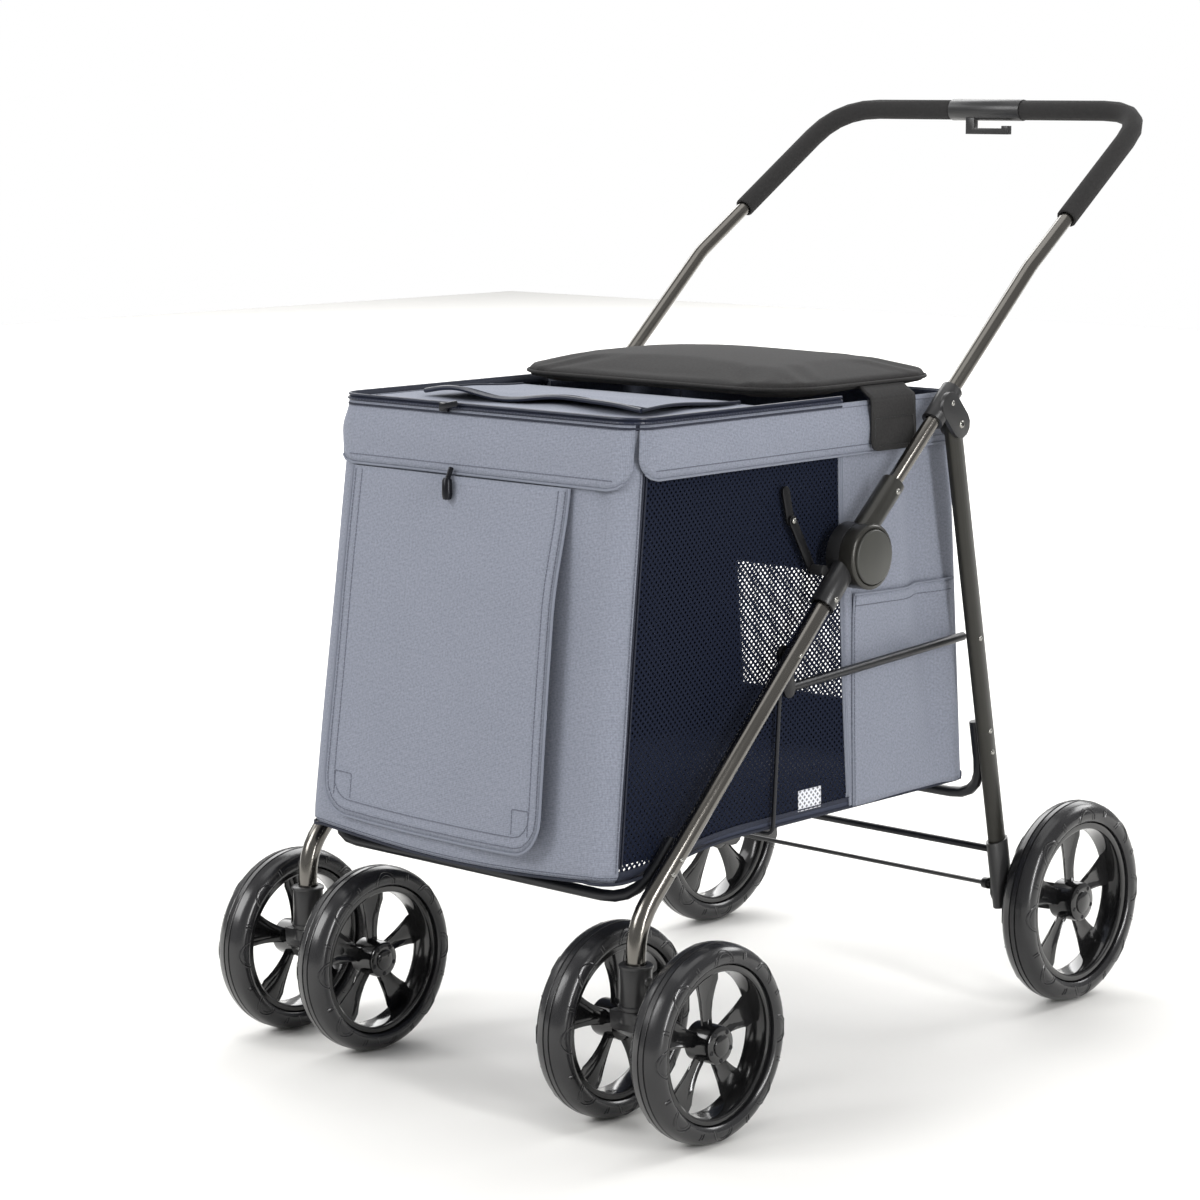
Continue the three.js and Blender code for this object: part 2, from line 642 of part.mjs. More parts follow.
function cabinTop() {
  const out = [CABIN_X + BAND_OUT, frontY(BAND_Z[0]) - BAND_OUT, rearY(BAND_Z[0]) + BAND_OUT];
  const inn = [CABIN_X + GAP, frontY(BAND_Z[0]) - GAP, rearY(BAND_Z[0]) + GAP];
  const ring = box([-out[0], out[0]], [out[1], out[2]], BAND_Z);
  const hollow = box([-inn[0], inn[0]], [inn[1], inn[2]], [BAND_Z[0] - 5, CABIN_TOP_Z + GAP]);
  const mouth = box(
    [-CABIN_X + 8, CABIN_X - 8],
    [frontY(CABIN_TOP_Z) + 12, rearY(CABIN_TOP_Z) - 12],
    [BAND_Z[0], BAND_Z[1] + 5],
  );
  add('rim_band', shaped([ring], [hollow, mouth]), CLOTH);
  const lidX = CABIN_X - 8 - GAP;
  add('top_lid', box(
    [-lidX, lidX],
    [frontY(CABIN_TOP_Z) + 12 + GAP, LID_REAR_Y],
    [CABIN_TOP_Z + GAP, CABIN_TOP_Z + GAP + LID_THICK],
  ), CLOTH);
  const pad = new THREE.Shape();
  const { front, rear, half, low, thick } = COVER;
  const r = 40;
  pad.moveTo(-half + r, front);
  pad.lineTo(half - r, front);
  pad.quadraticCurveTo(half, front, half, front + r);
  pad.lineTo(half, rear);
  pad.lineTo(-half, rear);
  pad.lineTo(-half, front + r);
  pad.quadraticCurveTo(-half, front, -half + r, front);
  const cover = new THREE.ExtrudeGeometry(pad, { depth: thick, bevelEnabled: false, curveSegments: 5 });
  add('top_cover', cover.translate(0, 0, low), BLACK_CLOTH);
  for (const [s, side] of [[1, 'left'], [-1, 'right']]) {
    const x = CABIN_X + BAND_OUT + GAP;
    add(`side_tab_${side}`, box(
      sided(s, [x, x + TAB.thick]),
      [TAB.front, TAB.rear],
      [TAB.low, TAB.high],
    ), BLACK_CLOTH);
  }
  const face = (z) => frontY(z) - FLAP.off;
  add('front_flap', crossWall(face, -1, [FLAP.left, FLAP.right], [FLAP.bottom, FLAP.top], FLAP.thick), CLOTH);
}

// ---- casters and wheels --------------------------------------------------
function casterFork(s, side) {
  const x = s * TRACK_X;
  const { y, z } = CASTER_AXLE;
  const top = SLEEVE_BOTTOM_Z - GAP;
  const reach = TWIN_HALF + TYRE_WIDTH * 0.36;
  const xs = [x - FORK_HALF_X, x + FORK_HALF_X];
  add(`caster_fork_${side}`, shaped([
    rod([x, STEM_Y, top - 2], [x, STEM_Y, SLEEVE_BOTTOM_Z + 15], PIN_R, 16),
    rod([x, STEM_Y, top - 12], [x, STEM_Y, top], SLEEVE_R),
    plate([
      [STEM_Y + 18, top - 1],
      [y + 15, z + 2],
      [y + 9, z - 13],
      [y - 10, z - 13],
      [STEM_Y - 12, top - 20],
      [STEM_Y - 14, top - 1],
    ], xs),
    rod([x - reach, y, z], [x + reach, y, z], AXLE_R, 14),
  ]), PLASTIC);
}

// A tyre and its rim; `out` is the side (+1 or -1 in x) that shows the hub cap.
function wheel(name, x, at, radius, out) {
  const w = TYRE_WIDTH;
  const seat = radius * TYRE_SEAT;
  const turn = (g) => g.rotateZ(-Math.PI / 2).translate(x, at.y, at.z);
  const section = [
    [seat, -0.36], [radius * 0.88, -0.5], [radius * 0.95, -0.44], [radius, -0.2],
    [radius, 0.2], [radius * 0.95, 0.44], [radius * 0.88, 0.5], [seat, 0.36], [seat, -0.36],
  ].map(([r, k]) => new THREE.Vector2(r, k * w));
  add(`${name}_tyre`, turn(new THREE.LatheGeometry(section, 32)), TYRE);
  const disc = new THREE.Shape();
  const outer = seat - GAP;
  disc.absarc(0, 0, outer, 0, 2 * Math.PI, false);
  const spokes = 5;
  for (let i = 0; i < spokes; i += 1) {
    const middle = ((i + 0.5) / spokes) * 2 * Math.PI;
    const hole = new THREE.Path();
    const arcs = [[radius * 0.72, 0.46, 6], [radius * 0.27, -0.33, 3]];
    let first = true;
    for (const [r, spread, steps] of arcs) {
      for (let k = 0; k <= steps; k += 1) {
        const t = middle + spread * ((2 * k) / steps - 1);
        const p = [r * Math.cos(t), r * Math.sin(t)];
        if (first) hole.moveTo(...p);
        else hole.lineTo(...p);
        first = false;
      }
    }
    hole.closePath();
    disc.holes.push(hole);
  }
  const depth = w * 0.56;
  const web = new THREE.ExtrudeGeometry(disc, { depth, bevelEnabled: false, curveSegments: 16 });
  web.translate(0, 0, -depth / 2).rotateY(Math.PI / 2).translate(x, at.y, at.z);
  const hub = radius * 0.2;
  const cap = x + out * w * 0.46;
  const back = x - out * w * 0.42;
  add(`${name}_rim`, shaped(
    [web, rod([back, at.y, at.z], [cap, at.y, at.z], hub)],
    [rod([back - out, at.y, at.z], [cap - out * 2, at.y, at.z], AXLE_R + GAP, 14)],
  ), RIM);
}

for (const [s, side] of [[1, 'left'], [-1, 'right']]) {
  frontLeg(s, side);
  hubLower(s, side);
  casterSleeve(s, side);
  hubUpper(s, side);
  hubButton(s, side);
  grip(s, side);
  pivotBracket(s, side);
  rearLeg(s, side);
  rearHousing(s, side);
  sideBar(s, side);
  cabinLink(s, side);
  casterFork(s, side);
  wheel(`front_outer_${side}`, s * (TRACK_X + TWIN_HALF), CASTER_AXLE, FRONT_WHEEL_R, s);
  wheel(`front_inner_${side}`, s * (TRACK_X - TWIN_HALF), CASTER_AXLE, FRONT_WHEEL_R, -s);
  wheel(`rear_${side}`, s * REAR_WHEEL_X, REAR_AXLE, REAR_WHEEL_R, s);
}
crossTube('front_cross_tube', onLeg, FRONT_CROSS, TRACK_X - LEG_R - CROSS_R - GAP, TUBE);
crossTube('rear_cross_tube', onRear, REAR_CROSS, TRACK_X - REAR_LEG_WIDE / 2 - CROSS_R - GAP, DARK_TUBE);
handleTube();
handleClip();
axleBar();
brakeBar();
hangerWire();
cabinShell();
cabinTop();

export default group;
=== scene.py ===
"""Looks of a folding pet stroller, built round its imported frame.

Everything is in metres, in the frame's own axes: +Z up, the front towards -Y
and the stroller's left side towards +X.
"""

import json
import logging
import math
from collections.abc import Callable, Sequence
from dataclasses import dataclass, field
from enum import Enum

import bmesh
import bpy
from mathutils import Matrix, Vector


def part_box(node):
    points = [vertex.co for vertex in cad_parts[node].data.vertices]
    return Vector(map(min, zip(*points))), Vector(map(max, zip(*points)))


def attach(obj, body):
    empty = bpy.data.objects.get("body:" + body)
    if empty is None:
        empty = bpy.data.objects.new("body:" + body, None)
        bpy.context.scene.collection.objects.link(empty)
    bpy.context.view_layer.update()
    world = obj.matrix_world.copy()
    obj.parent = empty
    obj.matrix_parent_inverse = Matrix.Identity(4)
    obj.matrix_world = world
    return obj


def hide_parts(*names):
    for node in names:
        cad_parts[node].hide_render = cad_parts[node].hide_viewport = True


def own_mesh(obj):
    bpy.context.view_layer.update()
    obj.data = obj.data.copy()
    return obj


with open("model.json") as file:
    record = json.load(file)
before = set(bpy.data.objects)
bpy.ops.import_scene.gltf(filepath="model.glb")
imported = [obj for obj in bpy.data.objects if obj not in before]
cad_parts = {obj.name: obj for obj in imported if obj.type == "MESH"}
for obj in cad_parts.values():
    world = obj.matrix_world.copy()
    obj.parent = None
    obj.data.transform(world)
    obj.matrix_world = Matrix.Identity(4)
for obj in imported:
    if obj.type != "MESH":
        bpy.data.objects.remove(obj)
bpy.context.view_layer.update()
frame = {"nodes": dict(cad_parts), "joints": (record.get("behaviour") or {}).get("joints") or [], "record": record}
MM = 0.001
LOG = logging.getLogger("stroller")
NODE_BODY = {
    node: body for body, nodes in frame["record"]["behaviour"]["bodies"].items() for node in nodes
}
JOINTS = {joint["name"]: joint for joint in frame["joints"]}
SIDES = ((1, "left"), (-1, "right"))
X_AXIS = Vector((1, 0, 0))
Z_AXIS = Vector((0, 0, 1))
CLOTH_SHARP_DEG = 60.0


class Slot(Enum):
    """The record's material slots."""

    GUNMETAL = "gunmetal"
    DARK_TUBE = "dark_tube"
    OLIVE = "olive"
    PLASTIC = "plastic"
    CAP = "cap"
    FOAM = "foam"
    TYRE = "tyre"
    RIM = "rim"
    CLOTH = "cloth"
    MESH = "mesh"
    BLACK_CLOTH = "black_cloth"
    STEEL = "steel"


# ---- finishes ---------------------------------------------------------------
def linear(hex_colour: str) -> tuple[float, float, float, float]:
    """Turns an sRGB hex colour to linear RGBA.

    Args:
        hex_colour: a colour such as "#8f94a3".

    Returns:
        The linear red, green, blue and an alpha of 1.
    """
    raw = [int(hex_colour[i : i + 2], 16) / 255 for i in (1, 3, 5)]
    low = [c / 12.92 if c <= 0.04045 else ((c + 0.055) / 1.055) ** 2.4 for c in raw]
    return (low[0], low[1], low[2], 1.0)


def add_node(
    tree: bpy.types.NodeTree,
    kind: str,
    settings: dict[str, object] | None = None,
    sockets: dict[str | int, object] | None = None,
) -> bpy.types.Node:
    """Adds one shader node with its settings, constants and links.

    Args:
        tree: the node tree of the material.
        kind: the node's type name.
        settings: attributes to set on the node.
        sockets: inputs by name or number; a (node, output) pair links.

    Returns:
        The new node.
    """
    node = tree.nodes.new(kind)
    for name, value in (settings or {}).items():
        setattr(node, name, value)
    for name, value in (sockets or {}).items():
        if isinstance(value, tuple) and isinstance(value[0], bpy.types.Node):
            tree.links.new(value[0].outputs[value[1]], node.inputs[name])
        else:
            node.inputs[name].default_value = value
    return node


def per_length(size: float) -> float:
    """The scale of a noise or cell texture whose features are `size` metres apart."""
    return 1.0 / size


def bands(period: float) -> float:
    """The scale of a wave texture of straight bands with this period in metres."""
    return 2 * math.pi / 20.0 / period


def diagonal_bands(period: float) -> float:
    """The scale of a diagonal wave texture whose bands lie `period` metres apart."""
    return 2 * math.pi / 10.0 / period / math.sqrt(2)


@dataclass(frozen=True)
class Finish:
    """One real material and how its surface was made."""

    name: str
    colour: str
    roughness: float
    metallic: float = 0.0
    ior: float = 1.5
    coat: float = 0.0
    sheen: float = 0.0

    def material(self) -> bpy.types.Material:
        """The material, made once and shared by every piece that has it."""
        known = bpy.data.materials.get(self.name)
        if known:
            return known
        made = bpy.data.materials.new(self.name)
        made.use_nodes = True
        made.diffuse_color = linear(self.colour)
        tree = made.node_tree
        shader = tree.nodes["Principled BSDF"]
        shader.inputs["Base Color"].default_value = linear(self.colour)
        shader.inputs["Roughness"].default_value = self.roughness
        shader.inputs["Metallic"].default_value = self.metallic
        if self.metallic < 0.5:
            shader.inputs["IOR"].default_value = self.ior
        if self.coat:
            shader.inputs["Coat Weight"].default_value = self.coat
            shader.inputs["Coat Roughness"].default_value = 0.12
        if self.sheen:
            shader.inputs["Sheen Weight"].default_value = self.sheen
            shader.inputs["Sheen Roughness"].default_value = 0.5
            shader.inputs["Sheen Tint"].default_value = linear(self.colour)
        self.detail(tree, shader)
        return made

    def detail(self, tree: bpy.types.NodeTree, shader: bpy.types.Node) -> None:
        """Adds the pattern of the surface; the plain finish has none.

        Args:
            tree: the material's nodes.
            shader: its Principled shader.
        """


def vary_colour(
    tree: bpy.types.NodeTree,
    shader: bpy.types.Node,
    factor: tuple[bpy.types.Node, int | str],
    dark: str,
    light: str,
) -> None:
    """Drives the base colour between two colours.

    Args:
        tree: the material's nodes.
        shader: its Principled shader.
        factor: the node and output that gives 0 to 1.
        dark: the hex colour at 0.
        light: the hex colour at 1.
    """
    mix = add_node(
        tree, "ShaderNodeMix", {"data_type": "RGBA"}, {0: factor, 6: linear(dark), 7: linear(light)}
    )
    tree.links.new(mix.outputs[2], shader.inputs["Base Color"])


def vary_roughness(
    tree: bpy.types.NodeTree,
    shader: bpy.types.Node,
    factor: tuple[bpy.types.Node, int | str],
    low: float,
    high: float,
) -> None:
    """Drives the roughness between two values.

    Args:
        tree: the material's nodes.
        shader: its Principled shader.
        factor: the node and output that gives 0 to 1.
        low: the roughness at 0.
        high: the roughness at 1.
    """
    spread = add_node(
        tree, "ShaderNodeMapRange", {}, {"Value": factor, "To Min": low, "To Max": high}
    )
    tree.links.new(spread.outputs[0], shader.inputs["Roughness"])


def raise_bump(
    tree: bpy.types.NodeTree,
    shader: bpy.types.Node,
    height: tuple[bpy.types.Node, int | str],
    depth: float,
    strength: float,
) -> None:
    """Turns a height pattern into relief.

    Args:
        tree: the material's nodes.
        shader: its Principled shader.
        height: the node and output that gives the height.
        depth: the relief's depth in metres.
        strength: how much of it shows, 0 to 1.
    """
    bump = add_node(
        tree, "ShaderNodeBump", {}, {"Height": height, "Distance": depth, "Strength": strength}
    )
    tree.links.new(bump.outputs["Normal"], shader.inputs["Normal"])


@dataclass(frozen=True)
class Coated(Finish):
    """A lacquer or powder coat: a grain of small soft bumps with a little unevenness."""

    grain: float = 1.4 * MM
    depth: float = 0.05 * MM
    dark: str = ""
    spread: float = 0.06

    def detail(self, tree: bpy.types.NodeTree, shader: bpy.types.Node) -> None:
        """Adds soft grain, cloudy gloss and cloudy colour."""
        place = add_node(tree, "ShaderNodeTexCoord")
        grain = add_node(
            tree,
            "ShaderNodeTexNoise",
            {},
            {"Vector": (place, "Object"), "Scale": per_length(self.grain), "Detail": 2.0},
        )
        cloud = add_node(
            tree,
            "ShaderNodeTexNoise",
            {},
            {"Vector": (place, "Object"), "Scale": per_length(38 * MM), "Detail": 3.0},
        )
        vary_colour(tree, shader, (cloud, 0), self.dark or self.colour, self.colour)
        vary_roughness(
            tree,
            shader,
            (cloud, 0),
            max(0.02, self.roughness - self.spread),
            self.roughness + self.spread,
        )
        raise_bump(tree, shader, (grain, 0), self.depth, 0.5)


@dataclass(frozen=True)
class Cellular(Finish):
    """Cut or skinned foam: small closed cells."""

    cell: float = 1.1 * MM
    dark: str = "#1c1b1b"

    def detail(self, tree: bpy.types.NodeTree, shader: bpy.types.Node) -> None:
        """Adds cells and a dusty unevenness."""
        place = add_node(tree, "ShaderNodeTexCoord")
        cells = add_node(
            tree,
            "ShaderNodeTexVoronoi",
            {},
            {"Vector": (place, "Object"), "Scale": per_length(self.cell)},
        )
        dust = add_node(
            tree,
            "ShaderNodeTexNoise",
            {},
            {"Vector": (place, "Object"), "Scale": per_length(3.5 * MM), "Detail": 4.0},
        )
        vary_colour(tree, shader, (dust, 0), self.dark, self.colour)
        raise_bump(tree, shader, (cells, "Distance"), 0.25 * MM, 0.6)


class Lay(Enum):
    """What a weave follows: the cut of the cloth, or the piece's own axes."""

    CUT = "UV"
    PIECE = "Object"


@dataclass(frozen=True)
class Woven(Finish):
    """Plain-weave cloth: crossing threads with a heather of lighter and darker yarn."""

    light: str = "#a9adb9"
    dark: str = "#7f8494"
    thread: float = 1.5 * MM
    lay: Lay = Lay.CUT

    def detail(self, tree: bpy.types.NodeTree, shader: bpy.types.Node) -> None:
        """Adds threads both ways, heather in the colour, and soft puckers."""
        place = add_node(tree, "ShaderNodeTexCoord")
        at = (place, self.lay.value)
        warp = add_node(
            tree,
            "ShaderNodeTexWave",
            {"bands_direction": "X"},
            {
                "Vector": at,
                "Scale": bands(self.thread),
                "Distortion": 1.2,
                "Detail": 1.0,
                "Detail Scale": 3.0,
            },
        )
        weft = add_node(
            tree,
            "ShaderNodeTexWave",
            {"bands_direction": "Y"},
            {
                "Vector": at,
                "Scale": bands(self.thread),
                "Distortion": 1.2,
                "Detail": 1.0,
                "Detail Scale": 3.0,
            },
        )
        cross = add_node(
            tree, "ShaderNodeMath", {"operation": "MULTIPLY"}, {0: (warp, "Fac"), 1: (weft, "Fac")}
        )
        heather = add_node(
            tree,
            "ShaderNodeTexNoise",
            {},
            {"Vector": at, "Scale": per_length(2.6 * MM), "Detail": 3.0, "Roughness": 0.65},
        )
        cloud = add_node(
            tree,
            "ShaderNodeTexNoise",
            {},
            {"Vector": at, "Scale": per_length(60 * MM), "Detail": 2.0},
        )
        blend = add_node(
            tree,
            "ShaderNodeMath",
            {"operation": "MULTIPLY_ADD"},
            {0: (cross, 0), 1: 0.35, 2: (heather, 0)},
        )
        level = add_node(
            tree,
            "ShaderNodeMath",
            {"operation": "MULTIPLY_ADD"},
            {0: (cloud, 0), 1: 0.08, 2: (blend, 0)},
        )
        spread = add_node(
            tree, "ShaderNodeMapRange", {}, {"Value": (level, 0), "From Min": 0.4, "From Max": 0.9}
        )
        vary_colour(tree, shader, (spread, 0), self.dark, self.light)
        raise_bump(tree, shader, (blend, 0), 0.35 * MM, 0.35)


@dataclass(frozen=True)
class Netted(Finish):
    """Open knitted net: a lattice of threads with diamond holes."""

    pitch: float = 5.0 * MM
    open_above: float = 0.6
    light: str = "#151b2c"

    def detail(self, tree: bpy.types.NodeTree, shader: bpy.types.Node) -> None:
        """Cuts the diamond holes and rounds the threads between them."""
        place = add_node(tree, "ShaderNodeTexCoord")
        turned = add_node(
            tree,
            "ShaderNodeMapping",
            {},
            {"Vector": (place, "UV"), "Rotation": (0.0, 0.0, math.radians(90))},
        )
        waves = [
            add_node(
                tree,
                "ShaderNodeTexWave",
                {"bands_direction": "DIAGONAL"},
                {"Vector": at, "Scale": diagonal_bands(self.pitch)},
            )
            for at in ((place, "UV"), (turned, 0))
        ]
        lattice = add_node(
            tree,
            "ShaderNodeMath",
            {"operation": "MINIMUM"},
            {0: (waves[0], "Fac"), 1: (waves[1], "Fac")},
        )
        hole = add_node(
            tree,
            "ShaderNodeMath",
            {"operation": "GREATER_THAN"},
            {0: (lattice, 0), 1: self.open_above},
        )
        solid = add_node(tree, "ShaderNodeMath", {"operation": "SUBTRACT"}, {0: 1.0, 1: (hole, 0)})
        tree.links.new(solid.outputs[0], shader.inputs["Alpha"])
        vary_colour(tree, shader, (lattice, 0), self.light, self.colour)
        raise_bump(tree, shader, (lattice, 0), 0.5 * MM, 0.8)


@dataclass(frozen=True)
class Moulded(Finish):
    """Moulded plastic or rubber: an even surface with faint flow marks."""

    flow: float = 22 * MM
    spread: float = 0.05
    dark: str = ""

    def detail(self, tree: bpy.types.NodeTree, shader: bpy.types.Node) -> None:
        """Adds faint flow in gloss and colour, and a fine skin."""
        place = add_node(tree, "ShaderNodeTexCoord")
        flow = add_node(
            tree,
            "ShaderNodeTexNoise",
            {},
            {"Vector": (place, "Object"), "Scale": per_length(self.flow), "Detail": 4.0},
        )
        skin = add_node(
            tree,
            "ShaderNodeTexNoise",
            {},
            {"Vector": (place, "Object"), "Scale": per_length(1.2 * MM), "Detail": 1.0},
        )
        vary_colour(tree, shader, (flow, 0), self.dark or self.colour, self.colour)
        vary_roughness(
            tree,
            shader,
            (flow, 0),
            max(0.02, self.roughness - self.spread),
            self.roughness + self.spread,
        )
        raise_bump(tree, shader, (skin, 0), 0.03 * MM, 0.35)


class Look(Enum):
    """Every finish of the stroller."""

    # Steel tube in a smooth metallic grey lacquer: dark, with one bright streak.
    GUNMETAL = Coated(
        "lacquered_steel_gunmetal",
        "#77746f",
        0.2,
        1.0,
        coat=0.3,
        dark="#6b6863",
        depth=0.006 * MM,
        spread=0.03,
    )
    # Steel tube, satin powder coat in blue-black: a soft wide highlight.
    DARK_TUBE = Coated(
        "powder_coated_steel_blue_black", "#1f2025", 0.33, 0.3, dark="#17181c", depth=0.02 * MM
    )
    # Flat-oval steel tube, matt powder coat in dark olive grey.
    OLIVE = Coated(
        "powder_coated_steel_olive",
        "#302f2b",
        0.4,
        0.4,
        dark="#272622",
        grain=1.6 * MM,
        depth=0.09 * MM,
    )
    # Glass-filled nylon, moulded with a satin skin.
    PLASTIC = Moulded("moulded_nylon_dark_grey", "#2b2b2c", 0.34, dark="#202021")
    # ABS, moulded with a satin skin in warm grey: the fold hubs.
    HUB = Moulded("moulded_abs_warm_grey", "#3b3a36", 0.3, 0.4, dark="#302f2c")
    CAP = Moulded("moulded_abs_button_grey", "#454541", 0.4, 0.2, dark="#3b3b38")
    # EVA foam sleeve, skinned: fine closed cells and no gloss.
    FOAM = Cellular("eva_foam_charcoal", "#2b2a2a", 0.92, dark="#1d1c1c")
    # Polyurethane tyre, moulded: dark grey with a broad soft gloss.
    TYRE = Moulded("moulded_polyurethane_tyre", "#232325", 0.25, coat=0.2, dark="#1b1b1d")
    # ABS, moulded against polished steel: near black and glossy.
    RIM = Moulded("moulded_abs_gloss_black", "#161617", 0.14, coat=0.4, spread=0.03, dark="#0f0f10")
    # Polyester Oxford cloth in blue grey; threads drawn at 1.5 mm so that they show.
    CLOTH = Woven("oxford_cloth_blue_grey",
        "#80848f",
        0.85,
        sheen=0.1,
        light="#8e929f",
        dark="#6f7480",
    )
    # Reverse face of the cloth, also on the floor pad: much darker than the cloth's face, as painted shade for the
    # inside of the cabin.
    LINING_PAINTED_SHADE = Woven("oxford_cloth_reverse_painted_shade", "#3a3f50", 0.92, light="#444a5c", dark="#2f3443")
    # The same cloth in charcoal, on its own axes because it is padded and re-meshed.
    CHARCOAL = Woven(
        "oxford_cloth_charcoal",
        "#232222",
        0.9,
        light="#2b2a2a",
        dark="#1c1b1b",
        lay=Lay.PIECE,
        sheen=0.1,
    )
    # Knitted polyester net, nearly black; a coarse 5 mm lattice stands for its finer mesh.
    NET = Netted("knitted_net_navy", "#080b14", 0.8, ior=1.2, open_above=0.6)
    WINDOW_NET = Netted("knitted_net_window", "#1a1f30", 0.8, ior=1.2, open_above=0.1)
    # Woven nylon tape of the zips, and the moulded coil and pulls on it.
    TAPE = Woven(
        "nylon_zip_tape_navy", "#1d2231", 0.75, light="#262c3e", dark="#151927", thread=1.1 * MM
    )
    COIL = Moulded("nylon_zip_coil_navy", "#20263a", 0.35, dark="#171c2b")
    PULL = Moulded("cast_zinc_pull_black", "#17181d", 0.3, 0.6)
    # Bonded nylon thread, darker than the cloth that it sews: partly its own colour, and partly painted shade for
    # the seam's groove.
    THREAD_AND_SEAM_SHADE = Moulded("nylon_thread_grey_seam_shade", "#5f6370", 0.6)
    DARK_THREAD = Moulded("nylon_thread_black", "#1f1f20", 0.6)
    # White label behind the net: no hole is cut, and the net's holes show as light dots.
    LABEL = Netted(
        "label_under_net", "#0b0f1b", 0.8, pitch=4.6 * MM, open_above=2.0, light="#eceef5"
    )
    # Zinc-plated steel rivets and screws.
    ZINC = Coated("zinc_plated_steel", "#a9a8a3", 0.25, 1.0, dark="#8b8a86")
    # Flat steel links with a dark oxide finish.
    STEEL = Coated("oxide_black_steel", "#29292b", 0.36, 0.7, dark="#1f1f21")


# ---- mesh helpers -----------------------------------------------------------
def finished(
    name: str,
    bm: bmesh.types.BMesh,
    looks: Sequence[Look],
    body: str,
    stands_for: Sequence[str] = (),
    sharp_deg: float = 38.0,
    normals: bool = True,
) -> bpy.types.Object:
    """Makes a piece of a bmesh, dresses it and rides it on a body.

    Args:
        name: the piece's name.
        bm: its shape, in place; it is freed.
        looks: its finishes, by material number.
        body: the body that it moves with.
        stands_for: the frame's nodes that it replaces.
        sharp_deg: edges sharper than this stay crisp.
        normals: True to turn the faces outwards first.

    Returns:
        The piece.
    """
    if normals:
        bmesh.ops.recalc_face_normals(bm, faces=bm.faces)
    mesh = bpy.data.meshes.new(name)
    bm.to_mesh(mesh)
    bm.free()
    mesh.polygons.foreach_set("use_smooth", [True] * len(mesh.polygons))
    mesh.set_sharp_from_angle(angle=math.radians(sharp_deg))
    piece = bpy.data.objects.new(name, mesh)
    bpy.context.scene.collection.objects.link(piece)
    for look in looks:
        mesh.materials.append(look.value.material())
    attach(piece, body)
    if stands_for:
        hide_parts(*stands_for)
    LOG.info("%s: %d faces, rides on %s", name, len(mesh.polygons), body)
    return piece


def softened(node: str, edge: float, sharp_deg: float = 40.0) -> bmesh.types.BMesh:
    """A merged copy of a frame node with its hard edges rounded.

    Args:
        node: the node's name.
        edge: the width of the rounding, in metres.
        sharp_deg: edges sharper than this are rounded.

    Returns:
        The new shape.
    """
    bm = bmesh.new()
    bm.from_mesh(frame["nodes"][node].data)
    bmesh.ops.remove_doubles(bm, verts=bm.verts, dist=1e-5)
    bmesh.ops.dissolve_limit(bm, angle_limit=math.radians(0.8), verts=bm.verts, edges=bm.edges)
    hard = [
        e for e in bm.edges if e.is_manifold and e.calc_face_angle(0.0) > math.radians(sharp_deg)
    ]
    bmesh.ops.bevel(
        bm,
        geom=hard,
        offset=edge,
        offset_type="OFFSET",
        affect="EDGES",
        segments=2,
        profile=0.5,
        material=-1,
        clamp_overlap=True,
    )
    return bm


def turn_to(axis: Vector) -> Matrix:
    """The turn that takes +Z to an axis."""
    return axis.to_track_quat("Z", "Y").to_matrix().to_4x4()


def spun(
    bm: bmesh.types.BMesh,
    profile: Sequence[tuple[float, float]],
    centre: Vector,
    axis: Vector,
    steps: int = 24,
    material: int = 0,
) -> list[bmesh.types.BMVert]:
    """Spins a profile of (radius, height) points fully round an axis.

    Args:
        bm: the shape that it is added to.
        profile: points from one end of the solid to the other.
        centre: where height 0 lies on the axis.
        axis: the direction of height.
        steps: how many steps a full turn has.
        material: the material number of its faces.

    Returns:
        The new vertices.
    """
    before = set(bm.verts)
    old_faces = set(bm.faces)
    points = [bm.verts.new((r, 0.0, h)) for r, h in profile]
    edges = [bm.edges.new(pair) for pair in zip(points, points[1:])]
    bmesh.ops.spin(
        bm,
        geom=points + edges,
        cent=(0, 0, 0),
        axis=(0, 0, 1),
        dvec=(0, 0, 0),
        angle=2 * math.pi,
        steps=steps,
        use_merge=True,
    )
    made = [v for v in bm.verts if v not in before]
    bmesh.ops.remove_doubles(bm, verts=made, dist=1e-7)
    made = [v for v in bm.verts if v not in before]
    bmesh.ops.transform(bm, matrix=Matrix.Translation(centre) @ turn_to(axis), verts=made)
    for face in bm.faces:
        if face not in old_faces:
            face.material_index = material
    return made


def dome(
    bm: bmesh.types.BMesh,
    at: Vector,
    axis: Vector,
    radius: float,
    height: float,
    material: int = 0,
    sunk: float = 0.6 * MM,
) -> None:
    """Adds one rivet head with a rounded top.

    Args:
        bm: the shape that it is added to.
        at: the middle of its seat.
        axis: outwards.
        radius: of the head.
        height: of the head.
        material: the material number.
        sunk: how deep the head starts under its seat.
    """
    arc = [(radius * math.cos(t), height * math.sin(t)) for t in (0.0, 0.45, 0.9, 1.3)]
    spun(bm, [(0, -sunk), (radius, -sunk), *arc, (0, height)], at, axis, 14, material)


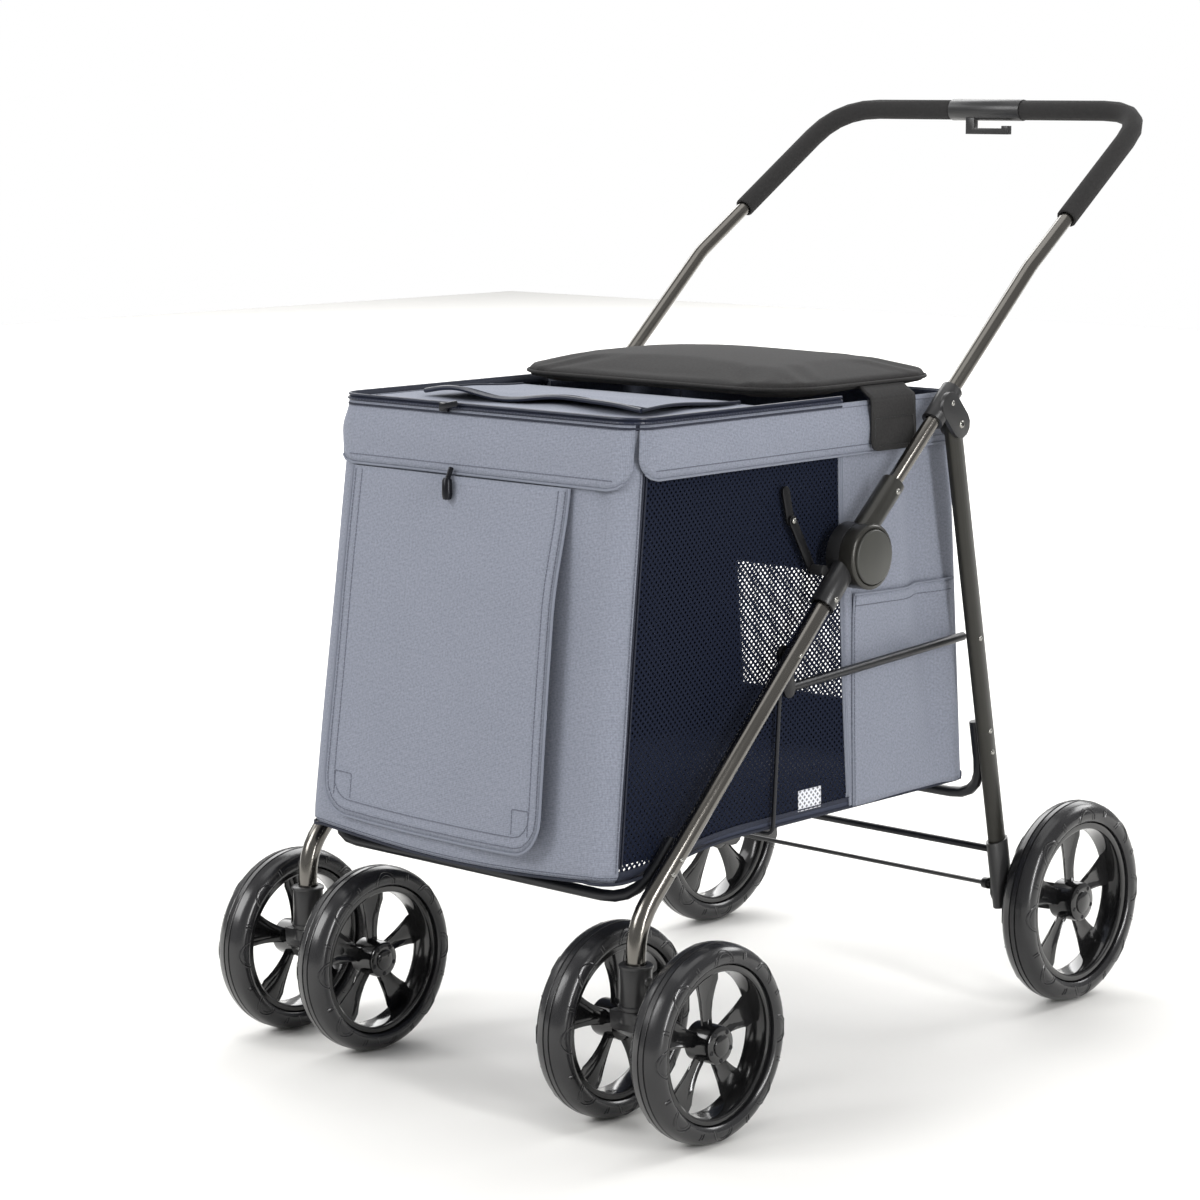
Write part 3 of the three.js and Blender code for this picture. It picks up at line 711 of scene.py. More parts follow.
def tube(
    bm: bmesh.types.BMesh,
    path: Sequence[Vector],
    radius: float,
    sides: int = 8,
    closed: bool = False,
    material: int = 0,
) -> None:
    """Extrudes a ring along a path, one point at a time.

    Args:
        bm: the shape that it is added to.
        path: the points of its middle line.
        radius: of the tube.
        sides: of the ring.
        closed: True where the last point joins the first.
        material: the material number.
    """
    old = set(bm.faces)
    count = len(path)

    def heading(i: int) -> Vector:
        """The direction of the path at a point."""
        ahead = path[(i + 1) % count] if closed or i < count - 1 else path[i]
        back = path[(i - 1) % count] if closed or i > 0 else path[i]
        return (ahead - back).normalized()

    turn = turn_to(heading(0)).to_3x3()
    ring = bmesh.ops.create_circle(
        bm,
        cap_ends=False,
        radius=radius,
        segments=sides,
        matrix=Matrix.Translation(path[0]) @ turn.to_4x4(),
    )["verts"]
    edges = list({e for v in ring for e in v.link_edges})
    first, last_dir, here = list(edges), heading(0), path[0]
    for i in range(1, count):
        made = bmesh.ops.extrude_edge_only(bm, edges=edges)["geom"]
        ring = [g for g in made if isinstance(g, bmesh.types.BMVert)]
        edges = [g for g in made if isinstance(g, bmesh.types.BMEdge)]
        edges = [e for e in edges if all(v in ring for v in e.verts)]
        swing = last_dir.rotation_difference(heading(i)).to_matrix().to_4x4()
        move = Matrix.Translation(path[i]) @ swing @ Matrix.Translation(-here)
        bmesh.ops.transform(bm, matrix=move, verts=ring)
        last_dir, here = heading(i), path[i]
    if closed:
        bmesh.ops.bridge_loops(bm, edges=first + edges)
    else:
        for loop in (first, edges):
            bmesh.ops.edgeloop_fill(bm, edges=loop)
    for face in bm.faces:
        if face not in old:
            face.material_index = material


def block(
    bm: bmesh.types.BMesh,
    low: Sequence[float],
    high: Sequence[float],
    edge: float,
    material: int = 0,
    turn: Matrix | None = None,
) -> list[bmesh.types.BMVert]:
    """Adds a box with rounded edges between two corners.

    Args:
        bm: the shape that it is added to.
        low: the lowest corner.
        high: the highest corner.
        edge: the rounding's width.
        material: the material number.
        turn: a move applied to the finished box.

    Returns:
        The new vertices.
    """
    before, old = set(bm.verts), set(bm.faces)
    middle = [(a + b) / 2 for a, b in zip(low, high)]
    size = [b - a for a, b in zip(low, high)]
    made = bmesh.ops.create_cube(
        bm, size=1.0, matrix=Matrix.Translation(middle) @ Matrix.Diagonal((*size, 1))
    )["verts"]
    bmesh.ops.bevel(
        bm,
        geom=list({e for v in made for e in v.link_edges}),
        offset=edge,
        offset_type="OFFSET",
        affect="EDGES",
        segments=2,
        profile=0.5,
        material=-1,
        clamp_overlap=True,
    )
    made = [v for v in bm.verts if v not in before]
    if turn is not None:
        bmesh.ops.transform(bm, matrix=turn, verts=made)
    for face in bm.faces:
        if face not in old:
            face.material_index = material
    return made


def thicken(piece: bpy.types.Object, thickness: float, offset: float = -1.0) -> None:
    """Gives a sheet its thickness.

    Args:
        piece: the sheet.
        thickness: in metres.
        offset: -1 grows inwards and 1 outwards.
    """
    wall = piece.modifiers.new("thickness", "SOLIDIFY")
    wall.thickness = thickness
    wall.offset = offset
    wall.use_even_offset = True
    if len(piece.data.materials) > 1:
        wall.material_offset = 1


def hung_cloth(
    name: str,
    bm: bmesh.types.BMesh,
    looks: Sequence[Look],
    body: str,
    stands_for: Sequence[str] = (),
    thickness: float = 0.0,
) -> bpy.types.Object:
    """Makes a piece of a hung cut, which faces outwards already.

    Args:
        name: the piece's name.
        bm: the hung cut; it is freed.
        looks: its finish, and one more where the reverse differs.
        body: the body that it moves with.
        stands_for: the frame's nodes that it replaces.
        thickness: of the cloth; 0 leaves a net as one layer.

    Returns:
        The piece.
    """
    piece = finished(name, bm, looks, body, stands_for, CLOTH_SHARP_DEG, False)
    if thickness:
        thicken(piece, thickness)
    return piece


# ---- cloth ------------------------------------------------------------------
Hang = Callable[[float, float], Vector]


@dataclass
class Sheet:
    """A piece of cloth: a flat cut, and where each point of the cut hangs.

    A point of the cut is (a, b) in metres: a runs across and b up.
    """

    low: tuple[float, float]
    high: tuple[float, float]
    hang: Hang
    cell: float = 9 * MM
    trim: Callable[[float, float], tuple[float, float]] | None = None

    @property
    def flat(self) -> tuple[float, float]:
        """The width and length of the cut."""
        return (self.high[0] - self.low[0], self.high[1] - self.low[1])

    def point(self, a: float, b: float, out: float = 0.0) -> Vector:
        """Where a point of the cut hangs, moved outwards by `out`."""
        here = self.hang(a, b)
        return here + self.normal(a, b) * out if out else here

    def normal(self, a: float, b: float) -> Vector:
        """The outward direction of the hung cloth at a point of the cut."""
        step = 0.5 * MM
        along = self.hang(a + step, b) - self.hang(a - step, b)
        up = self.hang(a, b + step) - self.hang(a, b - step)
        return along.cross(up).normalized()

    def cloth(
        self, hole: tuple[tuple[float, float], tuple[float, float]] | None = None
    ) -> bmesh.types.BMesh:
        """Cuts the cloth flat, writes the cut as its UV map, and hangs it.

        Args:
            hole: the low and high corner of an opening in the cut.

        Returns:
            The hung cloth.
        """
        bm = bmesh.new()
        width, length = self.flat
        middle = Vector(((self.low[0] + self.high[0]) / 2, (self.low[1] + self.high[1]) / 2, 0))
        bmesh.ops.create_grid(
            bm,
            x_segments=max(2, round(width / self.cell)),
            y_segments=max(2, round(length / self.cell)),
            size=0.5,
            matrix=Matrix.Translation(middle) @ Matrix.Diagonal((width, length, 1, 1)),
        )
        if hole:
            for k in (0, 1):
                for corner in hole:
                    at, way = Vector((0, 0, 0)), Vector((0, 0, 0))
                    at[k], way[k] = corner[k], 1.0
                    bmesh.ops.bisect_plane(
                        bm,
                        geom=[*bm.verts, *bm.edges, *bm.faces],
                        plane_co=at,
                        plane_no=way,
                        dist=1e-6,
                    )
            inside = [
                f
                for f in bm.faces
                if all(hole[0][k] < f.calc_center_median()[k] < hole[1][k] for k in (0, 1))
            ]
            bmesh.ops.delete(bm, geom=inside, context="FACES")
        if self.trim:
            for v in bm.verts:
                v.co.x, v.co.y = self.trim(v.co.x, v.co.y)
        cut = bm.loops.layers.uv.new("cut")
        for face in bm.faces:
            for loop in face.loops:
                loop[cut].uv = loop.vert.co.xy
        for v in bm.verts:
            v.co = self.hang(v.co.x, v.co.y)
        return bm

    def stitch(
        self,
        bm: bmesh.types.BMesh,
        line: Sequence[tuple[float, float]],
        out: float = 0.35 * MM,
        length: float = 3.4 * MM,
        gap: float = 1.0 * MM,
        radius: float = 0.45 * MM,
        material: int = 0,
    ) -> None:
        """Sews a row of stitches along a line on the cut.

        Args:
            bm: the shape that the stitches are added to.
            line: corners of the line, as points of the cut.
            out: how far the thread stands off the hung cloth.
            length: of one stitch.
            gap: between two stitches.
            radius: of the thread.
            material: the material number.
        """
        for start, end in zip(line, line[1:]):
            span = math.dist(start, end)
            count = max(1, round(span / (length + gap)))
            for i in range(count):
                ends = [
                    self.point(
                        start[0] + (end[0] - start[0]) * t, start[1] + (end[1] - start[1]) * t, out
                    )
                    for t in (
                        (i + 0.5 * gap / (length + gap)) / count,
                        (i + 1 - 0.5 * gap / (length + gap)) / count,
                    )
                ]
                tube(bm, ends, radius, 5, material=material)


def corner_trim(
    low: tuple[float, float], high: tuple[float, float], radii: dict[tuple[int, int], float]
) -> Callable[[float, float], tuple[float, float]]:
    """Rounds chosen corners of a rectangular cut.

    Args:
        low: the cut's lowest corner.
        high: the cut's highest corner.
        radii: radius by corner; (0, 0) is low-low and (1, 0) is high-low.

    Returns:
        The function that moves a point of the cut inside its rounded corner.
    """

    def trim(a: float, b: float) -> tuple[float, float]:
        """Moves a point of the cut inside the outline."""
        for (i, j), r in radii.items():
            ca = low[0] + r if i == 0 else high[0] - r
            cb = low[1] + r if j == 0 else high[1] - r
            da, db = (a - ca) * (-1 if i == 0 else 1), (b - cb) * (-1 if j == 0 else 1)
            if da > 0 and db > 0:
                # a square of side r is drawn onto its quarter disc
                reach = max(da, db)
                far = math.hypot(da, db)
                a = ca + (a - ca) * reach / far
                b = cb + (b - cb) * reach / far
        return a, b

    return trim


def wave(a: float, b: float, seed: float) -> float:
    """A slow, even unevenness between about -1 and 1, from three crossing waves."""
    return (
        math.sin(21.0 * a + 9.0 * b + seed)
        + 0.6 * math.sin(-13.0 * a + 27.0 * b + 2.1 * seed)
        + 0.4 * math.sin(43.0 * a + 31.0 * b + 3.7 * seed)
    ) / 2.0


def clamped(t: float) -> float:
    """Keeps a share between 0 and 1."""
    return min(1.0, max(0.0, t))


def arch(t: float) -> float:
    """A half sine wave over a share from 0 to 1, and 0 outside it."""
    return math.sin(math.pi * clamped(t))


def smooth(t: float) -> float:
    """Eases 0 to 1, and holds outside."""
    t = clamped(t)
    return t * t * (3 - 2 * t)


# ---- wheels -----------------------------------------------------------------
@dataclass
class Wheel:
    """A moulded wheel: tyre with half-moon ribs, ring, five scooped spokes and hub."""

    radius: float
    seat: float = 0.803
    moons: int = 8
    spokes: int = 5
    rib: float = 0.9 * MM
    steps: int = 72

    def wall(self) -> list[tuple[float, float]]:
        """The tyre's outline from its inner edge to the tread, as (radius, half width)."""
        shape = (
            (self.seat, 13.0),
            (0.806, 16.6),
            (0.825, 18.9),
            (0.86, 20.0),
            (0.9, 19.7),
            (0.938, 18.1),
            (0.968, 15.0),
            (0.988, 10.6),
            (0.997, 5.6),
        )
        return [(r * self.radius, w * MM) for r, w in shape]

    def at_wall(self, radius: float) -> float:
        """Half of the tyre's width at a radius."""
        wall = self.wall()
        for (r0, w0), (r1, w1) in zip(wall, wall[1:]):
            if r0 <= radius <= r1:
                return w0 + (w1 - w0) * (radius - r0) / (r1 - r0)
        return wall[-1][1]

    def tyre(self) -> bpy.types.Mesh:
        """The tyre round the X axis at the origin."""
        bm = bmesh.new()
        wall = self.wall()
        groove = [
            (self.radius, 4.6 * MM),
            (self.radius * 0.988, 4.0 * MM),
            (self.radius * 0.988, 2.9 * MM),
            (self.radius, 2.3 * MM),
        ]
        half = wall + groove
        profile = [(r, -w) for r, w in half] + [(r, w) for r, w in reversed(half)]
        spun(bm, [*profile, profile[0]], Vector((0, 0, 0)), X_AXIS, self.steps)
        bmesh.ops.recalc_face_normals(bm, faces=bm.faces)
        ribs = bmesh.new()
        inner = self.seat * self.radius + 2.2 * MM
        for size, thread in ((0.137, self.rib), (0.105, self.rib * 0.7)):
            reach = size * self.radius
            path = []
            for k in range(11):
                t = math.pi * k / 10
                y, r = reach * math.cos(t), inner + reach * 0.98 * math.sin(t)
                path.append(Vector((self.at_wall(math.hypot(y, r)) - 0.1 * MM, y, r)))
            tube(ribs, path, thread, 6)
        for lean in (-1, 1):
            cuts = []
            for k in range(3):
                r = self.radius * (0.815 + 0.03 * k)
                y = self.radius * (0.30 + 0.017 * lean + 0.012 * k)
                cuts.append(Vector((self.at_wall(math.hypot(y, r)), y, r)))
            tube(ribs, cuts, self.rib * 0.9, 6)
        one = bpy.data.meshes.new("ribs")
        ribs.to_mesh(one)
        ribs.free()
        for side in (0, math.pi):
            for k in range(self.moons):
                before = set(bm.verts)
                bm.from_mesh(one)
                made = [v for v in bm.verts if v not in before]
                turn = Matrix.Rotation(2 * math.pi * k / self.moons, 4, "X")
                bmesh.ops.transform(bm, matrix=turn @ Matrix.Rotation(side, 4, "Z"), verts=made)
        bpy.data.meshes.remove(one)
        return self.kept(bm, "tyre")

    def rim(self) -> bpy.types.Mesh:
        """The rim round the X axis at the origin, its hub cap towards +X."""
        bm = bmesh.new()
        big = self.radius
        ring = [
            (0.722 * big, -11 * MM),
            (0.733 * big, -13.6 * MM),
            (0.752 * big, -14.6 * MM),
            (0.79 * big, -14.2 * MM),
            (0.8 * big, -12.6 * MM),
        ]
        profile = ring + [(r, -x) for r, x in reversed(ring)]
        spun(bm, [*profile, profile[0]], Vector((0, 0, 0)), X_AXIS, self.steps)
        hub = [
            (0, -17 * MM),
            (0.15 * big, -17 * MM),
            (0.195 * big, -14 * MM),
            (0.195 * big, 12.5 * MM),
            (0.188 * big, 15.2 * MM),
            (0.17 * big, 16.4 * MM),
            (0.112 * big, 16.6 * MM),
            (0.108 * big, 18.0 * MM),
            (0.095 * big, 18.8 * MM),
            (0, 19.2 * MM),
        ]
        spun(bm, hub, Vector((0, 0, 0)), X_AXIS, 40)
        for k in range(self.spokes):
            turn = 2 * math.pi * k / self.spokes
            self.spoke(bm, turn)
            mid = turn + math.pi / self.spokes
            at = Vector((16.5 * MM, -0.15 * big * math.sin(mid), 0.15 * big * math.cos(mid)))
            dome(bm, at, X_AXIS, 2.5 * MM, 1.0 * MM, material=1)
        return self.kept(bm, "rim")

    def spoke(self, bm: bmesh.types.BMesh, turn: float) -> None:
        """Adds one flared, scooped spoke.

        Args:
            bm: the rim.
            turn: the spoke's angle round the axle.
        """
        before = set(bm.verts)
        made = bmesh.ops.create_grid(bm, x_segments=8, y_segments=8, size=0.5)["verts"]
        faces = list({f for v in made for f in v.link_faces})
        for v in made:
            u, w = v.co.x + 0.5, 2 * v.co.y
            r = self.radius * (0.175 + 0.56 * u)
            half = self.radius * (0.07 + 0.028 * u + 0.075 * u**3)
            lip = 3.6 * MM * abs(w) ** 3 * (1 - 0.4 * u)
            v.co = Vector((8.2 * MM + lip - 1.5 * MM * math.sin(math.pi * u), half * w, r))
        bmesh.ops.solidify(bm, geom=faces, thickness=13 * MM)
        made = [v for v in bm.verts if v not in before]
        low = min(v.co.x for v in made)
        if low > 0:
            bmesh.ops.translate(bm, vec=(-13 * MM, 0, 0), verts=made)
        bmesh.ops.rotate(bm, cent=(0, 0, 0), matrix=Matrix.Rotation(turn, 3, "X"), verts=made)

    def kept(self, bm: bmesh.types.BMesh, kind: str) -> bpy.types.Mesh:
        """Stores a shape as a mesh to copy, its faces outwards."""
        bmesh.ops.recalc_face_normals(bm, faces=bm.faces)
        mesh = bpy.data.meshes.new(f"{kind}_{round(self.radius / MM)}")
        bm.to_mesh(mesh)
        bm.free()
        return mesh

    @staticmethod
    def place(name: str, tyre: bpy.types.Mesh, rim: bpy.types.Mesh, cap_out: int) -> None:
        """Puts a copy of the wheel where the frame has it.

        Args:
            name: the wheel's name, as its nodes start.
            tyre: the tyre to copy.
            rim: the rim to copy.
            cap_out: 1 where the hub cap faces +X, and -1 where it faces -X.
        """
        low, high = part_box(f"{name}_tyre")
        move = Matrix.Translation((low + high) / 2)
        if cap_out < 0:
            move = move @ Matrix.Rotation(math.pi, 4, "Z")
        for kind, mesh, looks, slot in (
            ("tyre", tyre, (Look.TYRE,), Slot.TYRE), ("rim", rim, (Look.RIM, Look.STEEL), Slot.RIM)
        ):
            bm = bmesh.new()
            bm.from_mesh(mesh)
            bmesh.ops.transform(bm, matrix=move, verts=bm.verts)
            node = f"{name}_{kind}"
            body = NODE_BODY[node]
            finished(f"{name}_moulded_{kind}", bm, looks, body, (node,), 34.0, False)


@dataclass
class WheelSet:
    """The six wheels."""

    def build(self) -> None:
        """Builds the two sizes once and places all six."""
        for size, names in (
            ("front", [f"front_{w}_{side}" for _, side in SIDES for w in ("outer", "inner")]),
            ("rear", [f"rear_{side}" for _, side in SIDES]),
        ):
            low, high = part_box(f"{names[0]}_tyre")
            wheel = Wheel((high.z - low.z) / 2)
            tyre, rim = wheel.tyre(), wheel.rim()
            for name in names:
                out = 1 if ("left" in name) != ("inner" in name) else -1
                wheel.place(name, tyre, rim, out)
            LOG.info("%s wheels, radius %.1f mm", size, wheel.radius / MM)


# ---- tubes, hubs and fittings ------------------------------------------------
@dataclass
class Hardware:
    """Everything hard except the wheels: rounded copies of the frame's own shapes."""

    kinds: dict[str, tuple[float, Slot]] = field(
        default_factory=lambda: {
            "front_leg": (0.3 * MM, Slot.GUNMETAL),
            "hub_lower": (1.6 * MM, Slot.PLASTIC),
            "hub_upper": (1.8 * MM, Slot.CAP),
            "hub_button": (1.4 * MM, Slot.CAP),
            "caster_sleeve": (1.2 * MM, Slot.PLASTIC),
            "front_cross_tube": (0.5 * MM, Slot.DARK_TUBE),
            "handle_tube": (0.3 * MM, Slot.GUNMETAL),
            "handle_clip": (1.6 * MM, Slot.PLASTIC),
            "pivot_bracket": (1.4 * MM, Slot.PLASTIC),
            "rear_leg": (0.8 * MM, Slot.OLIVE),
            "rear_housing": (1.5 * MM, Slot.PLASTIC),
            "rear_cross_tube": (0.5 * MM, Slot.DARK_TUBE),
            "rear_axle_bar": (0.5 * MM, Slot.DARK_TUBE),
            "brake_bar": (1.6 * MM, Slot.PLASTIC),
            "side_bar": (0.7 * MM, Slot.STEEL),
            "hanger_wire": (0.3 * MM, Slot.DARK_TUBE),
            "cabin_link": (0.5 * MM, Slot.STEEL),
            "cabin_strip": (0.5 * MM, Slot.STEEL),
            "caster_fork": (1.6 * MM, Slot.PLASTIC),
        }
    )
    looks: dict[Slot, Look] = field(
        default_factory=lambda: {
            Slot.GUNMETAL: Look.GUNMETAL,
            Slot.DARK_TUBE: Look.DARK_TUBE,
            Slot.OLIVE: Look.OLIVE,
            Slot.PLASTIC: Look.PLASTIC,
            Slot.CAP: Look.HUB,
            Slot.STEEL: Look.STEEL,
        }
    )
    track: float = field(init=False)
    rivet: float = 3.4 * MM
    screw: float = 4.4 * MM
    leg_tilt_deg: float = 44.6
    bar_tilt_deg: float = 42.0
    rear_tilt_deg: float = 11.5

    def __post_init__(self) -> None:
        """Reads the frame's track from a front leg."""
        low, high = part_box("front_leg_left")
        self.track = (low.x + high.x) / 2

    def build(self) -> None:
        """Builds every hard piece, then its rivets, bolts and caps."""
        for node in sorted(NODE_BODY):
            kind = node.removesuffix("_left").removesuffix("_right")
            if kind not in self.kinds:
                continue
            edge, slot = self.kinds[kind]
            look = Look.CAP if kind == "hub_button" else self.looks[slot]
            sharp = 50.0 if kind == "hanger_wire" else 38.0
            bm = softened(node, edge, sharp + 3)
            body = NODE_BODY[node]
            finished(f"{node}_body", bm, (look,), body, (node,), sharp)
        self.rivets()
        self.hub_rings()
        self.caster_fittings()

    def rivets(self) -> None:
        """Adds every visible rivet and screw, on both sides of the stroller."""
        hub = Vector(JOINTS["fold"]["pos_m"])
        bracket = Vector(JOINTS["rear_fold"]["pos_m"])
        eye = Vector(JOINTS["side_link_fold"]["pos_m"])
        knee = Vector(JOINTS["wire_fold"]["pos_m"])
        joint = Vector(JOINTS["cabin_strip_fold"]["pos_m"])
        leg_r = 10 * MM
        tilt = math.radians(self.leg_tilt_deg)
        leg = Vector((0, -math.cos(tilt), -math.sin(tilt)))
        tilt = math.radians(self.bar_tilt_deg)
        bar = Vector((0, math.cos(tilt), math.sin(tilt)))
        tilt = math.radians(self.rear_tilt_deg)
        rear = Vector((0, math.sin(tilt), -math.cos(tilt)))
        lower = hub + Vector((0, -7.0 * MM, 7.1 * MM)) + leg * 65 * MM
        on_bar = hub + Vector((0, -10.0 * MM, 11.1 * MM))
        upper = on_bar + bar * 77 * MM
        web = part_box("pivot_bracket_left")[1].x
        along = (bracket - on_bar).dot(bar)
        rows = {
            "front_frame": (
                (self.track + leg_r + 3 * MM, lower, self.rivet),
                (self.track + leg_r, eye, 2.6 * MM),
                (self.track + leg_r, eye + leg * 254 * MM, self.rivet * 0.8),
                (self.track + leg_r, eye + leg * 272 * MM, self.rivet * 0.8),
            ),
            "handle": (
                (self.track + 13 * MM, upper, self.rivet),
                (web, bracket, self.screw),
                (self.track + 12 * MM, on_bar + bar * (along + 4 * MM), self.rivet * 0.9),
            ),
            "rear_frame": tuple(
                (self.track + 7 * MM, bracket + rear * t * MM, 3.0 * MM)
                for t in (240.0, 347.0, 371.5)
            ),
            "side_links": ((self.track - 12.4 * MM, knee, 3.2 * MM),),
            "cabin_links": ((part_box("cabin_link_left")[1].x - 6 * MM, joint, 3.2 * MM),),
        }
        for s, side in SIDES:
            for body, heads in rows.items():
                bm = bmesh.new()
                for x, at, size in heads:
                    seat = Vector((s * x, at.y, at.z))
                    dome(bm, seat, X_AXIS * s, size, size * 0.42)
                    # a screw's socket is drawn as a dark hexagon of painted shade, not as a recess
                    if size >= self.screw:
                        self.painted_socket_shade(bm, seat + X_AXIS * s * size * 0.4, s, size * 0.45)
                finished(f"rivets_{body}_{side}", bm, (Look.ZINC, Look.STEEL), body)

    def painted_socket_shade(self, bm: bmesh.types.BMesh, at: Vector, s: int, radius: float) -> None:
        """Adds a dark hexagon on a screw head: painted shade that stands for the socket's recess, which is not
        cut.
        """
        rim = [(0, -0.4 * MM), (radius, -0.4 * MM), (radius, 0.15 * MM), (0, 0.15 * MM)]
        spun(bm, rim, at, X_AXIS * s, 6, 1)

    def hub_rings(self) -> None:
        """Adds the raised ring round each fold button."""
        for s, side in SIDES:
            low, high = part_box(f"hub_button_{side}")
            middle = (low + high) / 2
            face = max(abs(low.x), abs(high.x)) - 4 * MM
            r = (high.z - low.z) / 2
            bm = bmesh.new()
            ring = [
                (r + 0.5 * MM, -0.8 * MM),
                (r + 0.6 * MM, 0.9 * MM),
                (r + 1.5 * MM, 1.7 * MM),
                (r + 3.0 * MM, 1.5 * MM),
                (r + 4.4 * MM, 0.3 * MM),
                (r + 4.6 * MM, -0.8 * MM),
            ]
            at = Vector((s * face, middle.y, middle.z))
            spun(bm, [*ring, ring[0]], at, X_AXIS * s, 56)
            finished(f"hub_ring_{side}", bm, (Look.HUB,), "handle")

    def caster_fittings(self) -> None:
        """Adds collars, fork cheeks and axle ends to the casters."""
        for s, side in SIDES:
            low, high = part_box(f"caster_sleeve_{side}")
            middle = Vector((s * self.track, (low.y + high.y) / 2, 0))
            bm = bmesh.new()
            r = (high.y - low.y) / 2
            for z, wide in ((high.z, 1.2 * MM), (low.z + 5 * MM, 1.4 * MM)):
                ring = [
                    (r - 1.5 * MM, -3.2 * MM),
                    (r + wide, -3.0 * MM),
                    (r + wide, -0.6 * MM),
                    (r - 0.5 * MM, 0.5 * MM),
                    (r - 5.0 * MM, 0.5 * MM),
                    (r - 5.0 * MM, -3.2 * MM),
                ]
                at = Vector((middle.x, middle.y, z))
                spun(bm, [*ring, ring[0]], at, Z_AXIS, 32)
            finished(f"caster_collar_{side}", bm, (Look.PLASTIC,), "front_frame")
            self.cheeks(s, side)

    def cheeks(self, s: int, side: str) -> None:
        """Adds the ribbed cheeks and the axle nuts of one caster fork."""
        axle = Vector(JOINTS[f"front_outer_{side}_spin"]["pos_m"])
        pin = Vector(JOINTS[f"caster_swivel_{side}"]["pos_m"])
        x = s * self.track
        bm = bmesh.new()
        for way in (-1, 1):
            face = x + way * 22 * MM
            out = face + way * 3.4 * MM
            lo, hi = min(face, out) - 0.2 * MM, max(face, out)
            plate = (lo, pin.y - 9 * MM, axle.z + 10 * MM), (hi, pin.y + 8 * MM, axle.z + 26 * MM)
            block(bm, *plate, 1.2 * MM)
            for k in range(3):
                y = axle.y - 16 * MM + k * 9 * MM
                block(bm, (lo, y, axle.z - 10 * MM), (hi, y + 3 * MM, axle.z + 9 * MM), 0.8 * MM)
            spun(
                bm,
                [(0, 0), (9 * MM, 0), (9 * MM, 4 * MM), (7.6 * MM, 5.4 * MM), (0, 5.4 * MM)],
                Vector((face, axle.y, axle.z)),
                X_AXIS * way,
                24,
            )
            dome(bm, Vector((out, pin.y, axle.z + 18 * MM)), X_AXIS * way, 3 * MM, 1.2 * MM, 1)
        finished(
            f"caster_cheeks_{side}", bm, (Look.PLASTIC, Look.ZINC), f"caster_{side}"
        )


@dataclass
class Grips:
    """The two foam sleeves of the handle."""

    edge: float = 1.8 * MM

    def build(self) -> None:
        for _, side in SIDES:
            node = f"grip_{side}"
            bm = softened(node, self.edge, 50.0)
            piece = finished(
                f"foam_sleeve_{side}", bm, (Look.FOAM,), "handle", (node,), 60.0
            )


